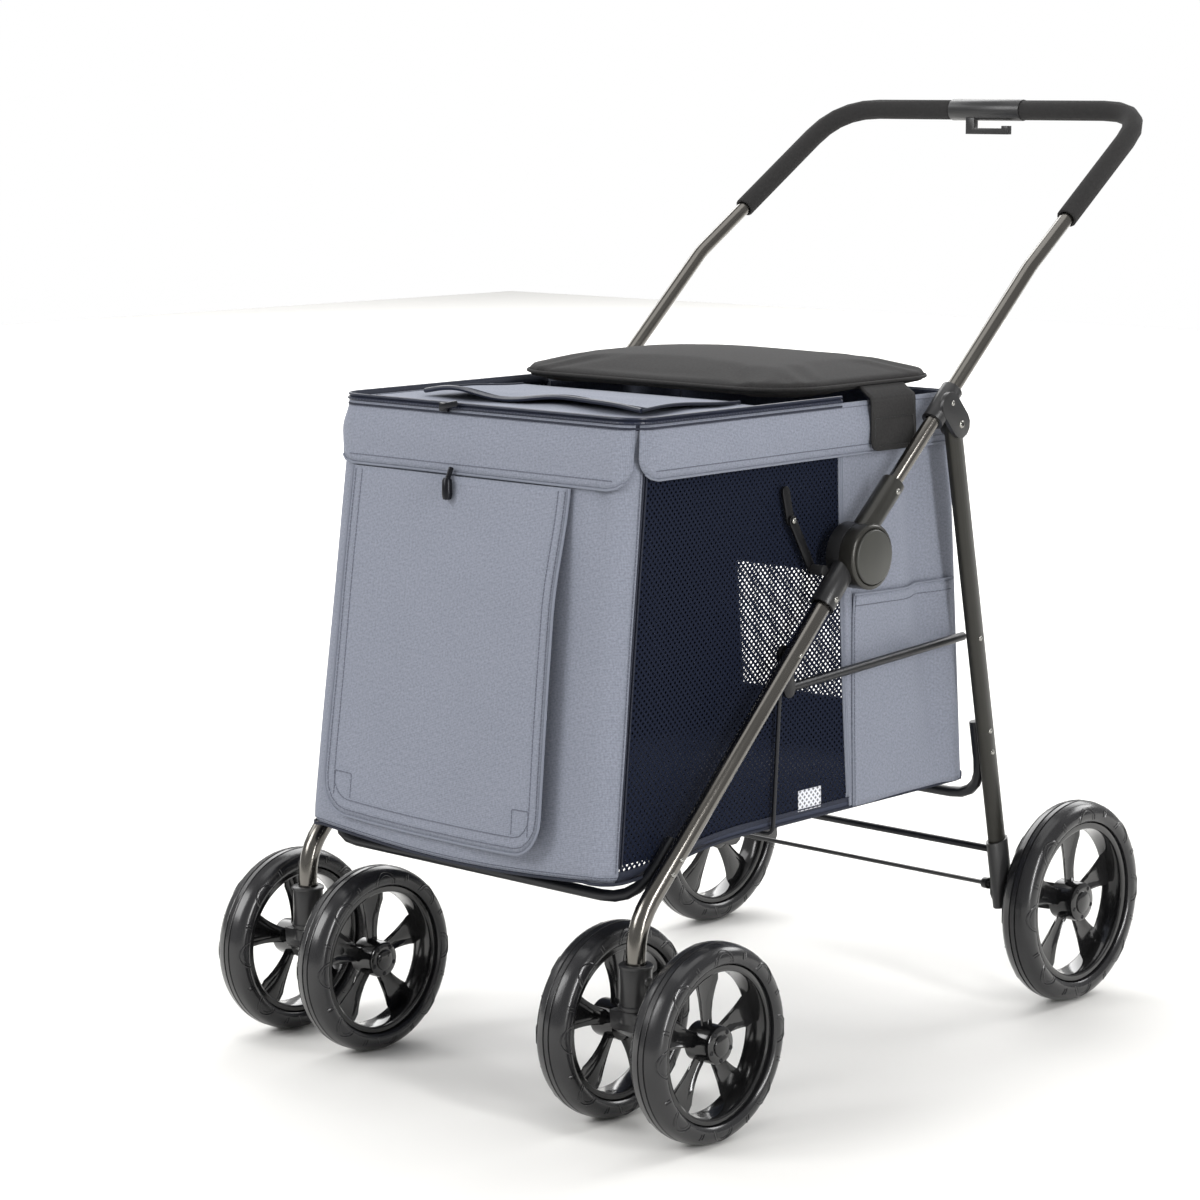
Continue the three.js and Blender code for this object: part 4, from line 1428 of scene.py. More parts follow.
# ---- cabin ------------------------------------------------------------------
@dataclass
class Cabin:
    """The soft cabin's outline: a leaning box with rounded upright corners.

    A place on its outline is s metres from the front's right end, going round
    by the left side, and z above the floor.
    """

    fabric: float = 4 * MM
    front_round: float = 25 * MM
    rear_round: float = 14 * MM
    hem: float = 11 * MM
    slack_lean: float = 24 * MM
    flare: float = 10 * MM

    def __post_init__(self) -> None:
        """Reads the outline from the frame's wall nodes."""
        low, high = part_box("front_panel")
        self.half, self.low_z, self.top_z = high.x, low.z, high.z
        self.front_low, self.front_top = low.y, high.y - self.fabric
        low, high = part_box("back_panel")
        self.rear_low, self.rear_top = high.y, low.y + self.fabric
        self.seam_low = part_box("side_mesh_left")[1].y
        self.seam_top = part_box("side_rear_left")[0].y
        self.front_run = 2 * (self.half - self.front_round)
        self.corner = math.pi / 2 * self.front_round
        depth = (self.rear_low + self.rear_top - self.front_low - self.front_top) / 2
        self.side_run = depth - self.front_round - self.rear_round
        self.rear_corner = math.pi / 2 * self.rear_round
        self.back_run = 2 * (self.half - self.rear_round)
        self.side_from = self.front_run + self.corner
        self.side_to = self.side_from + self.side_run
        self.back_from = self.side_to + self.rear_corner
        self.round_trip = (
            self.back_from + self.back_run + self.rear_corner + self.side_run + self.corner
        )

    def share(self, z: float) -> float:
        """How far up the walls a height is, from 0 to 1."""
        return (z - self.low_z) / (self.top_z - self.low_z)

    def front_y(self, z: float) -> float:
        """The front wall's y at a height; its slack foot leans further out."""
        taut = self.front_low + (self.front_top - self.front_low) * self.share(z)
        return taut - self.slack_lean * max(0.0, 1 - self.share(z))

    def rear_y(self, z: float) -> float:
        """The rear wall's y at a height."""
        return self.rear_low + (self.rear_top - self.rear_low) * self.share(z)

    def seam(self, z: float) -> float:
        """Where the upright seam of a side lies, as a place on the outline."""
        y = self.seam_low + (self.seam_top - self.seam_low) * self.share(z)
        return self.side_at(y, z)

    def side_at(self, y: float, z: float) -> float:
        """The place on the left side whose y is given, at a height."""
        start = self.front_y(z) + self.front_round
        end = self.rear_y(z) - self.rear_round
        return self.side_from + self.side_run * (y - start) / (end - start)

    def at(self, s: float, z: float, out: float = 0.0) -> Vector:
        """A point of the outline, with the front's foot hanging a little lower."""
        here = self.ring(s, z, out)
        s %= self.round_trip
        past = min(max(0.0, s - self.side_from), max(0.0, self.round_trip - self.corner - s))
        near = smooth(1 - past / (0.35 * self.side_run))
        here.z -= 14 * MM * near * (1 - clamped(self.share(z))) ** 6
        return here

    def ring(self, s: float, z: float, out: float = 0.0) -> Vector:
        """A point of the outline before it droops.

        Args:
            s: the place on the outline.
            z: the height.
            out: how far outside the wall.

        Returns:
            The point.
        """
        s %= self.round_trip
        over = s - (self.back_from + self.back_run / 2)
        if over > 0:
            point = self.ring(self.back_from + self.back_run / 2 - over, z, out)
            return Vector((-point.x, point.y, point.z))
        front, rear = self.front_y(z), self.rear_y(z)
        rf, rr, half = self.front_round, self.rear_round, self.half
        along = max(0.0, 1 - max(0.0, s - self.side_from) / (0.25 * self.side_run))
        half += self.flare * smooth(along) * max(0.0, 1 - self.share(z))
        if s < self.front_run:
            spread = (half - rf) / (self.front_run / 2)
            return Vector(((s - self.front_run / 2) * spread, front - out, z))
        if s < self.side_from:
            t = (s - self.front_run) / rf
            return Vector(
                (half - rf + (rf + out) * math.sin(t), front + rf - (rf + out) * math.cos(t), z)
            )
        if s < self.side_to:
            t = (s - self.side_from) / self.side_run
            return Vector((half + out, front + rf + (rear - rr - front - rf) * t, z))
        if s < self.back_from:
            t = (s - self.side_to) / rr
            return Vector(
                (half - rr + (rr + out) * math.cos(t), rear - rr + (rr + out) * math.sin(t), z)
            )
        return Vector((half - rr - (s - self.back_from), rear + out, z))


def folds_with_rim(piece: bpy.types.Object) -> None:
    """Gives a wall piece its own copy of its mesh.

    Args:
        piece: the piece.
    """
    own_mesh(piece)


@dataclass
class Walls:
    """The cabin's hanging cloth: front, nets, rear sides, back, board and piping."""

    cabin: Cabin
    cloth: float = 1.3 * MM
    net: float = 1.0 * MM
    overlap: float = 9 * MM
    net_reach: float = 8 * MM
    board_edge: float = 3 * MM
    piping: float = 1.7 * MM
    pieces: list[bpy.types.Object] = field(default_factory=list)

    def keep(self, piece: bpy.types.Object) -> bpy.types.Object:
        """Remembers a wall piece, to give it its own mesh later."""
        self.pieces.append(piece)
        return piece

    def build(self) -> None:
        """Builds the walls in order, then gives each piece its own mesh."""
        self.front()
        for s, side in SIDES:
            self.side_net(s, side)
            self.side_cloth(s, side)
            self.pocket(s, side)
            self.label(s, side)
        self.back()
        self.board()
        self.bottom_piping()
        for piece in self.pieces:
            folds_with_rim(piece)

    def front_hang(self, a: float, b: float, out: float = 0.0) -> Vector:
        """How the front cloth hangs: a soft belly, a sagging hem, rounded corners."""
        c = self.cabin
        u = clamped(a / c.front_run)
        w = clamped(c.share(b))
        belly = 4.0 * MM * arch(u) * arch(w)
        pucker = 0.9 * MM * wave(a, b, 1.3) * arch(w)
        near_top = smooth((w - 0.8) / 0.2)
        fan = 0.93 + 0.05 * (1 - near_top)
        crease = -6.0 * MM * math.exp(-(((u - fan) / 0.028) ** 2)) * smooth((w - 0.62) / 0.3)
        crease += 2.0 * MM * math.exp(-(((u - fan + 0.06) / 0.03) ** 2)) * near_top
        crease *= 1 - smooth((a / c.front_run - 0.95) / 0.05)
        tuck = -6.0 * MM * smooth((c.low_z - b) / c.hem)
        here = c.at(a, b, out + belly + pucker + crease + tuck)
        here.z -= 10 * MM * arch(u) * (1 - w) ** 6
        return here

    def front(self) -> None:
        """The front cloth with its doorway, and the zip round it."""
        c = self.cabin
        low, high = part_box("front_panel")
        door_low, door_high = self.doorway()
        start = -(c.corner - self.net_reach)
        end = c.side_from - self.net_reach
        sheet = Sheet((start, low.z - c.hem), (end, high.z - 1 * MM), self.front_hang)
        bm = sheet.cloth((door_low, door_high))
        piece = hung_cloth(
            "front_cloth",
            bm,
            (Look.CLOTH, Look.LINING_PAINTED_SHADE),
            "cabin",
            ("front_panel",),
            thickness=self.cloth,
        )
        self.keep(piece)
        seams = bmesh.new()
        for b in (low.z - c.hem + 5 * MM, low.z - c.hem + 7.5 * MM):
            sheet.stitch(seams, [(start, b), (0, b), (c.front_run, b), (end, b)])
        for a in (start + 3 * MM, end - 3 * MM):
            sheet.stitch(seams, [(a, low.z), (a, high.z - 8 * MM)])
        thread = self.keep(
            finished("front_cloth_stitching", seams, (Look.THREAD_AND_SEAM_SHADE,), "cabin")
        )
        (a0, b0), (a1, b1) = door_low, door_high
        zip_bm = bmesh.new()
        ways = [(a0, b0), (a0, b1), (a1, b1), (a1, b0), (a0, b0)]
        for start_at, end_at in zip(ways, ways[1:]):
            count = max(2, round(math.dist(start_at, end_at) / (14 * MM)))
            path = [
                sheet.point(
                    start_at[0] + (end_at[0] - start_at[0]) * k / count,
                    start_at[1] + (end_at[1] - start_at[1]) * k / count,
                    0.8 * MM,
                )
                for k in range(count + 1)
            ]
            tube(zip_bm, path, 2.2 * MM, 8)
        self.keep(finished("door_zip", zip_bm, (Look.COIL,), "cabin"))
        self.door_net(sheet, door_low, door_high)

    def doorway(self) -> tuple[tuple[float, float], tuple[float, float]]:
        """The doorway's corners on the front cloth's cut."""
        c = self.cabin
        low, high = -150 * MM, 106 * MM
        half = c.front_run / 2
        return (low + half, 296 * MM), (high + half, 612 * MM)

    def door_net(self, sheet: Sheet, low: tuple[float, float], high: tuple[float, float]) -> None:
        """The net behind the flap, zipped into the doorway."""
        net = Sheet(low, high, lambda a, b: sheet.hang(a, b) + Vector((0, 1.5 * MM, 0)), 16 * MM)
        piece = hung_cloth("door_net", net.cloth(), (Look.NET,), "cabin")
        self.keep(piece)

    def side_hang(self, s: int) -> Hang:
        """How a side hangs; its right twin is mirrored."""
        c = self.cabin

        def hang(a: float, b: float) -> Vector:
            """Places a point of the cut where the cloth hangs."""
            place = a * s
            t = (place - c.side_from) / c.side_run
            w = clamped(c.share(b))
            sag = -3.2 * MM * arch(w) * arch(t)
            sag -= 5 * MM * smooth((c.low_z - b) / c.hem)
            ripple = -0.7 * MM * (1.3 + wave(place, b, 2.0 + s))
            here = c.at(place, b, sag + ripple - 0.4 * MM)
            return Vector((here.x * s, here.y, here.z))

        return hang

    def rear_hang(self, s: int) -> Hang:
        """How the rear of a side hangs: slack, with one deep upright fold."""
        c = self.cabin

        def hang(a: float, b: float) -> Vector:
            """Places a point of the cut where the cloth hangs."""
            place = a * s
            t = (place - c.side_from) / c.side_run
            w = clamped(c.share(b))
            line = 0.865 + 0.075 * (1 - w)
            free = smooth((t - 0.66) / 0.1)
            fold = -9.0 * MM * math.exp(-(((t - line) / 0.035) ** 2)) * free
            lip = 2.2 * MM * math.exp(-(((t - line + 0.075) / 0.04) ** 2)) * free
            corner = 1 - smooth((t - 0.93) / 0.07)
            sag = -3.4 * MM * arch(w) * smooth((t - 0.6) / 0.2) * corner
            ripple = -0.8 * MM * (1 + wave(place, b, 5.0 + s)) * corner - 0.6 * MM
            ends = smooth(w / 0.12) * smooth((1.02 - w) / 0.1)
            here = c.at(place, b, (fold + lip) * ends + sag + ripple)
            return Vector((here.x * s, here.y, here.z))

        return hang

    def seam_trim(self, s: int, side_low: bool) -> Callable[[float, float], tuple[float, float]]:
        """Cuts the edge next to the upright seam along the seam's own line."""
        c = self.cabin

        def trim(a: float, b: float) -> tuple[float, float]:
            """Moves a point of the cut inside the outline."""
            place = a * s
            middle = c.seam((c.low_z + c.top_z) / 2)
            edge = c.seam(b)
            if side_low:
                edge += 5 * MM
                far = c.side_from - self.net_reach - self.overlap
                place = far + (place - far) * (edge - far) / (middle - far)
            else:
                far = c.back_from + self.overlap
                place = far + (place - far) * (far - edge) / (far - middle)
            return place * s, b

        return trim

    def side_net(self, s: int, side: str) -> None:
        """The net of one side and its bound rear edge."""
        c = self.cabin
        low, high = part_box(f"side_mesh_{side}")
        ends = sorted(
            ((c.side_from - self.net_reach - self.overlap) * s, c.seam((c.low_z + c.top_z) / 2) * s)
        )
        sheet = Sheet(
            (ends[0], low.z - c.hem + 4 * MM),
            (ends[1], high.z - 1 * MM),
            self.side_hang(s),
            10 * MM,
            self.seam_trim(s, True),
        )
        piece = hung_cloth(
            f"side_net_{side}",
            sheet.cloth(),
            (Look.NET,),
            "cabin",
            (f"side_mesh_{side}",),
        )
        self.keep(piece)
        foot = Sheet(
            (ends[0], low.z - c.hem),
            (ends[1], low.z + 1 * MM),
            lambda a, b: sheet.hang(a, b) + Vector((s * 0.9 * MM, 0, 0)),
            8 * MM,
            self.seam_trim(s, True),
        )
        hem = hung_cloth(
            f"net_hem_{side}", foot.cloth(), (Look.TAPE,), "cabin", thickness=0.8 * MM
        )
        self.keep(hem)
        binding = bmesh.new()
        for shift in (-2.6 * MM, 0.0, 2.6 * MM):
            path = []
            for k in range(24):
                z = low.z - c.hem + (high.z - low.z + c.hem - 2 * MM) * k / 23
                place = c.seam(z) + shift
                path.append(sheet.point(place * s, z, 0.4 * MM))
            tube(binding, path, 1.5 * MM, 6)
        for shift in (0.0, 3 * MM):
            path = []
            for k in range(24):
                z = low.z - c.hem + (high.z - low.z + c.hem - 2 * MM) * k / 23
                place = c.side_from - self.net_reach + shift
                path.append(sheet.point(place * s, z, 1.6 * MM))
            tube(binding, path, 0.9 * MM, 6, material=1)
        self.keep(
            finished(f"seam_binding_{side}", binding, (Look.CLOTH, Look.TAPE), "cabin")
        )

    def side_cloth(self, s: int, side: str) -> None:
        """The grey rear part of one side, round the rear corner."""
        c = self.cabin
        low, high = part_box(f"side_rear_{side}")
        far = c.back_from + self.overlap
        ends = sorted((c.seam((c.low_z + c.top_z) / 2) * s, far * s))
        sheet = Sheet(
            (ends[0], low.z - c.hem),
            (ends[1], high.z - 1 * MM),
            self.rear_hang(s),
            6 * MM,
            self.seam_trim(s, False),
        )
        piece = hung_cloth(
            f"side_cloth_{side}",
            sheet.cloth(),
            (Look.CLOTH, Look.LINING_PAINTED_SHADE),
            "cabin",
            (f"side_rear_{side}",),
            thickness=self.cloth,
        )
        self.keep(piece)

    def pocket(self, s: int, side: str) -> None:
        """The pocket on the rear of a side, with its turned top hem."""
        c = self.cabin
        top, low = 490 * MM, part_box(f"side_rear_{side}")[0].z - c.hem + 1 * MM
        start = c.seam(low) + 4 * MM
        ends = sorted((start * s, (c.side_to - 2 * MM) * s))
        inner = self.rear_hang(s)

        def hang(a: float, b: float) -> Vector:
            """Places a point of the cut where the cloth hangs."""
            here = inner(a, b)
            stand = 1.6 * MM + 1.6 * MM * smooth((b - top + 30 * MM) / (30 * MM))
            here.x += s * stand
            here.z -= 3 * MM * math.sin(
                math.pi * (abs(a) - start) / (c.side_to - start)
            ) * smooth((b - top + 60 * MM) / (60 * MM))
            return here

        sheet = Sheet((ends[0], low), (ends[1], top), hang, 7 * MM)
        piece = hung_cloth(
            f"side_pocket_{side}",
            sheet.cloth(),
            (Look.CLOTH,),
            "cabin",
            thickness=self.cloth,
        )
        self.keep(piece)
        seams = bmesh.new()
        sheet.stitch(seams, [(ends[0] + 3 * MM, top - 13 * MM), (ends[1] - 3 * MM, top - 13 * MM)])
        sheet.stitch(seams, [(ends[0] + 3 * MM, low), (ends[0] + 3 * MM, top - 2 * MM)])
        hem = [
            sheet.point(ends[0] + (ends[1] - ends[0]) * k / 20, top - 0.8 * MM, 0.3 * MM)
            for k in range(21)
        ]
        tube(seams, hem, 1.2 * MM, 6, material=1)
        thread = self.keep(
            finished(
                f"side_pocket_stitching_{side}",
                seams,
                (Look.THREAD_AND_SEAM_SHADE, Look.CLOTH),
                "cabin",
            )
        )

    def label(self, s: int, side: str) -> None:
        """The small plain label inside the left net."""
        if s < 0:
            return
        c = self.cabin
        z = 283 * MM
        middle = c.side_at(-112 * MM, z)
        inner = self.side_hang(s)
        sheet = Sheet(
            (middle - 17 * MM, z - 11 * MM),
            (middle + 17 * MM, z + 11 * MM),
            lambda a, b: inner(a, b) + Vector((0.6 * MM, 0, 0)),
            5 * MM,
        )
        piece = hung_cloth(
            f"plain_label_{side}",
            sheet.cloth(),
            (Look.LABEL,),
            "cabin",
            thickness=0.4 * MM,
        )
        self.keep(piece)

    def back(self) -> None:
        """The back cloth with its net window."""
        c = self.cabin
        low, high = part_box("back_panel")
        start, end = c.back_from, c.back_from + c.back_run
        middle = (start + end) / 2
        hole = ((middle - 110 * MM, 330 * MM), (middle + 110 * MM, 476 * MM))

        def hang(a: float, b: float) -> Vector:
            """Places a point of the cut where the cloth hangs."""
            w = clamped(c.share(b))
            across = math.sin(math.pi * (a - start) / (end - start))
            sag = -2.5 * MM * arch(w) * across
            return c.at(a, b, sag + 0.6 * MM * wave(a, b, 7.0))

        sheet = Sheet((start, low.z - c.hem), (end, high.z - 1 * MM), hang, 10 * MM)
        piece = hung_cloth(
            "back_cloth",
            sheet.cloth(hole),
            (Look.CLOTH, Look.LINING_PAINTED_SHADE),
            "cabin",
            ("back_panel",),
            thickness=self.cloth,
        )
        self.keep(piece)
        net = Sheet(hole[0], hole[1], hang, 20 * MM)
        window = hung_cloth("back_window_net", net.cloth(), (Look.WINDOW_NET,), "cabin")
        self.keep(window)
        frame_bm = bmesh.new()
        (a0, b0), (a1, b1) = hole
        ways = [(a0, b0), (a0, b1), (a1, b1), (a1, b0), (a0, b0)]
        for start_at, end_at in zip(ways, ways[1:]):
            path = [
                sheet.point(
                    start_at[0] + (end_at[0] - start_at[0]) * k / 8,
                    start_at[1] + (end_at[1] - start_at[1]) * k / 8,
                )
                for k in range(9)
            ]
            tube(frame_bm, path, 1.6 * MM, 6)
        self.keep(finished("back_window_binding", frame_bm, (Look.CLOTH,), "cabin"))

    def board(self) -> None:
        """The board that the cabin stands on, wrapped in cloth."""
        low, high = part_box("cabin_floor")
        bm = bmesh.new()
        inset = 2 * MM
        block(
            bm,
            (low.x + inset, low.y + inset, low.z),
            (high.x - inset, high.y - inset, high.z - 1 * MM),
            self.board_edge,
        )
        flat_top = [f for f in bm.faces if f.normal.z > 0.9]
        bmesh.ops.subdivide_edges(
            bm, edges=list({e for f in flat_top for e in f.edges}), cuts=24, use_grid_fill=True
        )
        for v in bm.verts:
            if v.co.z > high.z - 1.5 * MM:
                edge = min(
                    (v.co.x - low.x) / 0.05,
                    (high.x - v.co.x) / 0.05,
                    (v.co.y - low.y) / 0.05,
                    (high.y - v.co.y) / 0.05,
                )
                v.co.z += 5 * MM * smooth(edge) + 0.8 * MM * wave(v.co.x, v.co.y, 4.0)
        # The pad's dark cloth is painted shade of the cabin's inside.
        piece = finished("floor_pad", bm, (Look.LINING_PAINTED_SHADE,), "cabin", ("cabin_floor",), 40)

    def bottom_piping(self) -> None:
        """The corded seam round the cabin's bottom edge."""
        c = self.cabin
        count = 150
        path = []
        for k in range(count):
            s = c.round_trip * k / count
            if s < c.front_run:
                point = self.front_hang(s, c.low_z - c.hem + 1.5 * MM, 1.2 * MM)
            else:
                point = c.at(s, c.low_z - c.hem + 1 * MM, -1.2 * MM)
            path.append(point)
        bm = bmesh.new()
        tube(bm, path, self.piping, 8, closed=True)
        self.keep(finished("bottom_piping", bm, (Look.TAPE,), "cabin"))


@dataclass
class Rim:
    """The cabin's stiff top edge: outer bands, zip and the two side tabs."""

    cabin: Cabin
    stand: float = 2.6 * MM
    band_low: float = 628 * MM
    side_low: float = 637 * MM
    hem: float = 9 * MM
    round_corner: float = 24 * MM

    def build(self) -> None:
        """Builds the bands, the zip with its pull, and the tabs."""
        c = self.cabin
        half_turn = c.corner * 0.5
        top = c.top_z + 1 * MM
        self.band("front", 1, -half_turn, c.front_run + half_turn, self.band_low, top, (1, 1))
        for s, side in SIDES:
            start, end = c.side_from - half_turn * 0.8, c.side_to + c.rear_corner * 0.5
            self.band(side, s, start, end, self.side_low, top, (1, 0))
            self.tab(s, side)
        start = c.back_from - c.rear_corner * 0.5
        end = c.back_from + c.back_run + c.rear_corner * 0.5
        self.band("back", 1, start, end, 640 * MM, top, (0, 0))
        self.zip_round_top()

    def hang(self, s: int, front: bool) -> Hang:
        """How a band hangs: tight at its top, standing off slightly at its hem."""
        c = self.cabin

        def at(a: float, b: float) -> Vector:
            """Places a point of the cut round the frame."""
            place = a * s
            w = smooth((c.top_z - b) / (60 * MM))
            lift = self.stand + 1.2 * MM * w * (1 + 0.5 * wave(place, 0.6, 3.0 + s))
            puff = clamped((c.top_z - 4 * MM - b) / (46 * MM))
            lift += (3.0 if front else 4.2) * MM * arch(puff) ** 1.3
            lift += 0.7 * MM * arch(puff) * wave(place * 2.2, b, 8.0)
            here = c.at(place, b, lift)
            return Vector((here.x * s, here.y, here.z))

        return at

    def band(
        self,
        name: str,
        s: int,
        start: float,
        end: float,
        low: float,
        top: float,
        rounded: tuple[int, int],
    ) -> None:
        """Adds one band with its hem stitches.

        Args:
            name: which band.
            s: 1 on the outline as it runs, and -1 mirrored to the right.
            start: its first place on the outline.
            end: its last place.
            low: its hem's height.
            top: its top height.
            rounded: which lower corners are rounded, first and last.
        """
        ends = sorted((start * s, end * s))
        radii = {}
        for k, flag in enumerate(rounded):
            if flag:
                radii[((k if s > 0 else 1 - k), 0)] = self.round_corner
        trim = corner_trim((ends[0], low), (ends[1], top), radii)
        front = name == "front"
        sheet = Sheet((ends[0], low), (ends[1], top), self.hang(s, front), 7 * MM, trim)
        piece = hung_cloth(
            f"band_{name}",
            sheet.cloth(),
            (Look.CLOTH,),
            "rim",
            ("rim_band",) if front else (),
            thickness=1.6 * MM,
        )
        seams = bmesh.new()
        r = self.round_corner
        inset = self.hem
        line = [
            (ends[0] + (r * 0.75 if (0, 0) in radii else 2 * MM), low + inset),
            (ends[1] - (r * 0.75 if (1, 0) in radii else 2 * MM), low + inset),
        ]
        sheet.stitch(seams, line)
        sheet.stitch(seams, [(ends[0] + 3 * MM, top - 5 * MM), (ends[1] - 3 * MM, top - 5 * MM)])
        count = max(8, round((ends[1] - ends[0]) / (12 * MM)))
        edge = []
        for k in range(count + 1):
            a = ends[0] + (ends[1] - ends[0]) * k / count
            edge.append(sheet.point(*trim(a, low), 0.2 * MM))
        tube(seams, edge, 1.3 * MM, 6, material=1)
        thread = finished(
            f"band_{name}_stitching", seams, (Look.THREAD_AND_SEAM_SHADE, Look.CLOTH), "rim"
        )

    def zip_round_top(self) -> None:
        """Adds the navy zip that runs along the front and both sides of the top."""
        c = self.cabin
        z = c.top_z + 1.5 * MM
        reach = c.side_at(-70 * MM, c.top_z) - c.front_run / 2
        middle = c.front_run / 2
        strip = Sheet(
            (-reach, z - 6 * MM),
            (reach, z + 5.5 * MM),
            lambda a, b: self.outline(middle + a, b, 1.4 * MM),
            8 * MM,
        )
        piece = hung_cloth(
            "zip_tape", strip.cloth(), (Look.TAPE,), "rim", thickness=1.2 * MM
        )
        bm = bmesh.new()
        count = 170
        rows = (2.4, z + 1.4 * MM, 1.7, 0), (2.0, z + 5.6 * MM, 1.5, 0), (2.4, z - 4 * MM, 1.2, 1)
        for out, at_z, r, look in rows:
            path = [
                self.outline(middle - reach + 2 * reach * k / count, at_z, out * MM)
                for k in range(count + 1)
            ]
            tube(bm, path, r * MM, 7, material=look)
        for k in range(230):
            a = -reach + 2 * reach * (k + 0.5) / 230
            at = self.outline(middle + a, z + 1.4 * MM, 3.6 * MM)
            way = self.outline(middle + a, z, 10 * MM) - self.outline(middle + a, z, 0)
            dome(bm, at, way.normalized(), 1.1 * MM, 0.7 * MM, 0, 0.4 * MM)
        finished("zip_coil", bm, (Look.COIL, Look.TAPE), "rim")
        self.pull(-49 * MM)

    def outline(self, s: float, z: float, out: float) -> Vector:
        """A point round the top; heights above the walls stay upright."""
        here = self.cabin.at(s, min(z, self.cabin.top_z), out)
        here.z = z
        return here

    def pull(self, x: float) -> None:
        """Adds the zip's slider and its hanging pull."""
        c = self.cabin
        y = c.front_top - 5.4 * MM
        z = c.top_z + 3 * MM
        bm = bmesh.new()
        low, high = (x - 6 * MM, y - 2.4 * MM, z - 4.5 * MM), (x + 6 * MM, y + 2 * MM, z + 4.5 * MM)
        block(bm, low, high, 1.4 * MM)
        lean = Matrix.Translation((x - 4 * MM, y - 3 * MM, z))
        lean = lean @ Matrix.Rotation(math.radians(78), 4, "Y")
        block(bm, (-3 * MM, -1 * MM, 2 * MM), (3 * MM, 1 * MM, 26 * MM), 0.9 * MM, 0, lean)
        dome(bm, Vector((x, y - 2.2 * MM, z)), Vector((0, -1, 0)), 2.2 * MM, 1.4 * MM)
        finished("zip_pull", bm, (Look.PULL,), "rim")
        self.cord(-30 * MM)

    def cord(self, x: float) -> None:
        """Adds the dark cord with a moulded end that hangs over the door flap."""
        c = self.cabin
        top = 634 * MM
        bm = bmesh.new()
        path = [
            Vector((x, c.front_y(top) - 8 * MM, top)),
            Vector((x + 0.5 * MM, c.front_y(top) - 11 * MM, top - 5 * MM)),
            Vector((x + 1 * MM, c.front_y(620 * MM) - 13.5 * MM, top - 12 * MM)),
        ]
        tube(bm, path, 2.6 * MM, 8)
        body = [
            (0, 0),
            (3.6 * MM, 0.4 * MM),
            (5.0 * MM, 3 * MM),
            (5.4 * MM, 17 * MM),
            (4.2 * MM, 22 * MM),
            (0, 23 * MM),
        ]
        way = Vector((0.05, -0.06, -1)).normalized()
        spun(bm, body, path[-1] + Vector((0, 0, 3 * MM)), way, 16)
        finished("door_pull_cord", bm, (Look.PULL,), "rim")

    def tab(self, s: int, side: str) -> None:
        """Adds the charcoal tab that ties the padded cover down at one side."""
        low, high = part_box(f"side_tab_{side}")
        x = self.cabin.half + 10.5 * MM

        def hang(a: float, b: float) -> Vector:
            """Places a point of the cut where the cloth hangs."""
            w = smooth((high.z - b) / (54 * MM))
            curl = 1.4 * MM * w * (1 + 0.6 * math.sin(60 * a))
            lean_in = 17 * MM * smooth((b - high.z + 2 * MM) / (14 * MM))
            return Vector((s * (x + curl - lean_in), s * a, b))

        ends = sorted((s * (low.y - 2 * MM), s * (high.y + 14 * MM)))
        bottom, top = low.z - 4 * MM, high.z + 11 * MM
        radii = {(0, 0): 12 * MM, (1, 0): 12 * MM}
        trim = corner_trim((ends[0], bottom), (ends[1], top), radii)
        sheet = Sheet((ends[0], bottom), (ends[1], top), hang, 5 * MM, trim)
        piece = hung_cloth(
            f"tie_tab_{side}",
            sheet.cloth(),
            (Look.CHARCOAL,),
            "rim",
            (f"side_tab_{side}",),
            thickness=2.2 * MM,
        )
        seams = bmesh.new()
        i = 5 * MM
        a0, a1, b0, b1 = ends[0] + i, ends[1] - i, bottom + i, bottom + 34 * MM
        foot = [(a0, b0 + 8 * MM), (a0 + 6 * MM, b0), (a1 - 6 * MM, b0), (a1, b0 + 8 * MM)]
        sheet.stitch(seams, foot[1:] + [(a1, b1), (a0, b1)] + foot[:1])
        thread = finished(
            f"tie_tab_stitching_{side}", seams, (Look.DARK_THREAD,), "rim"
        )


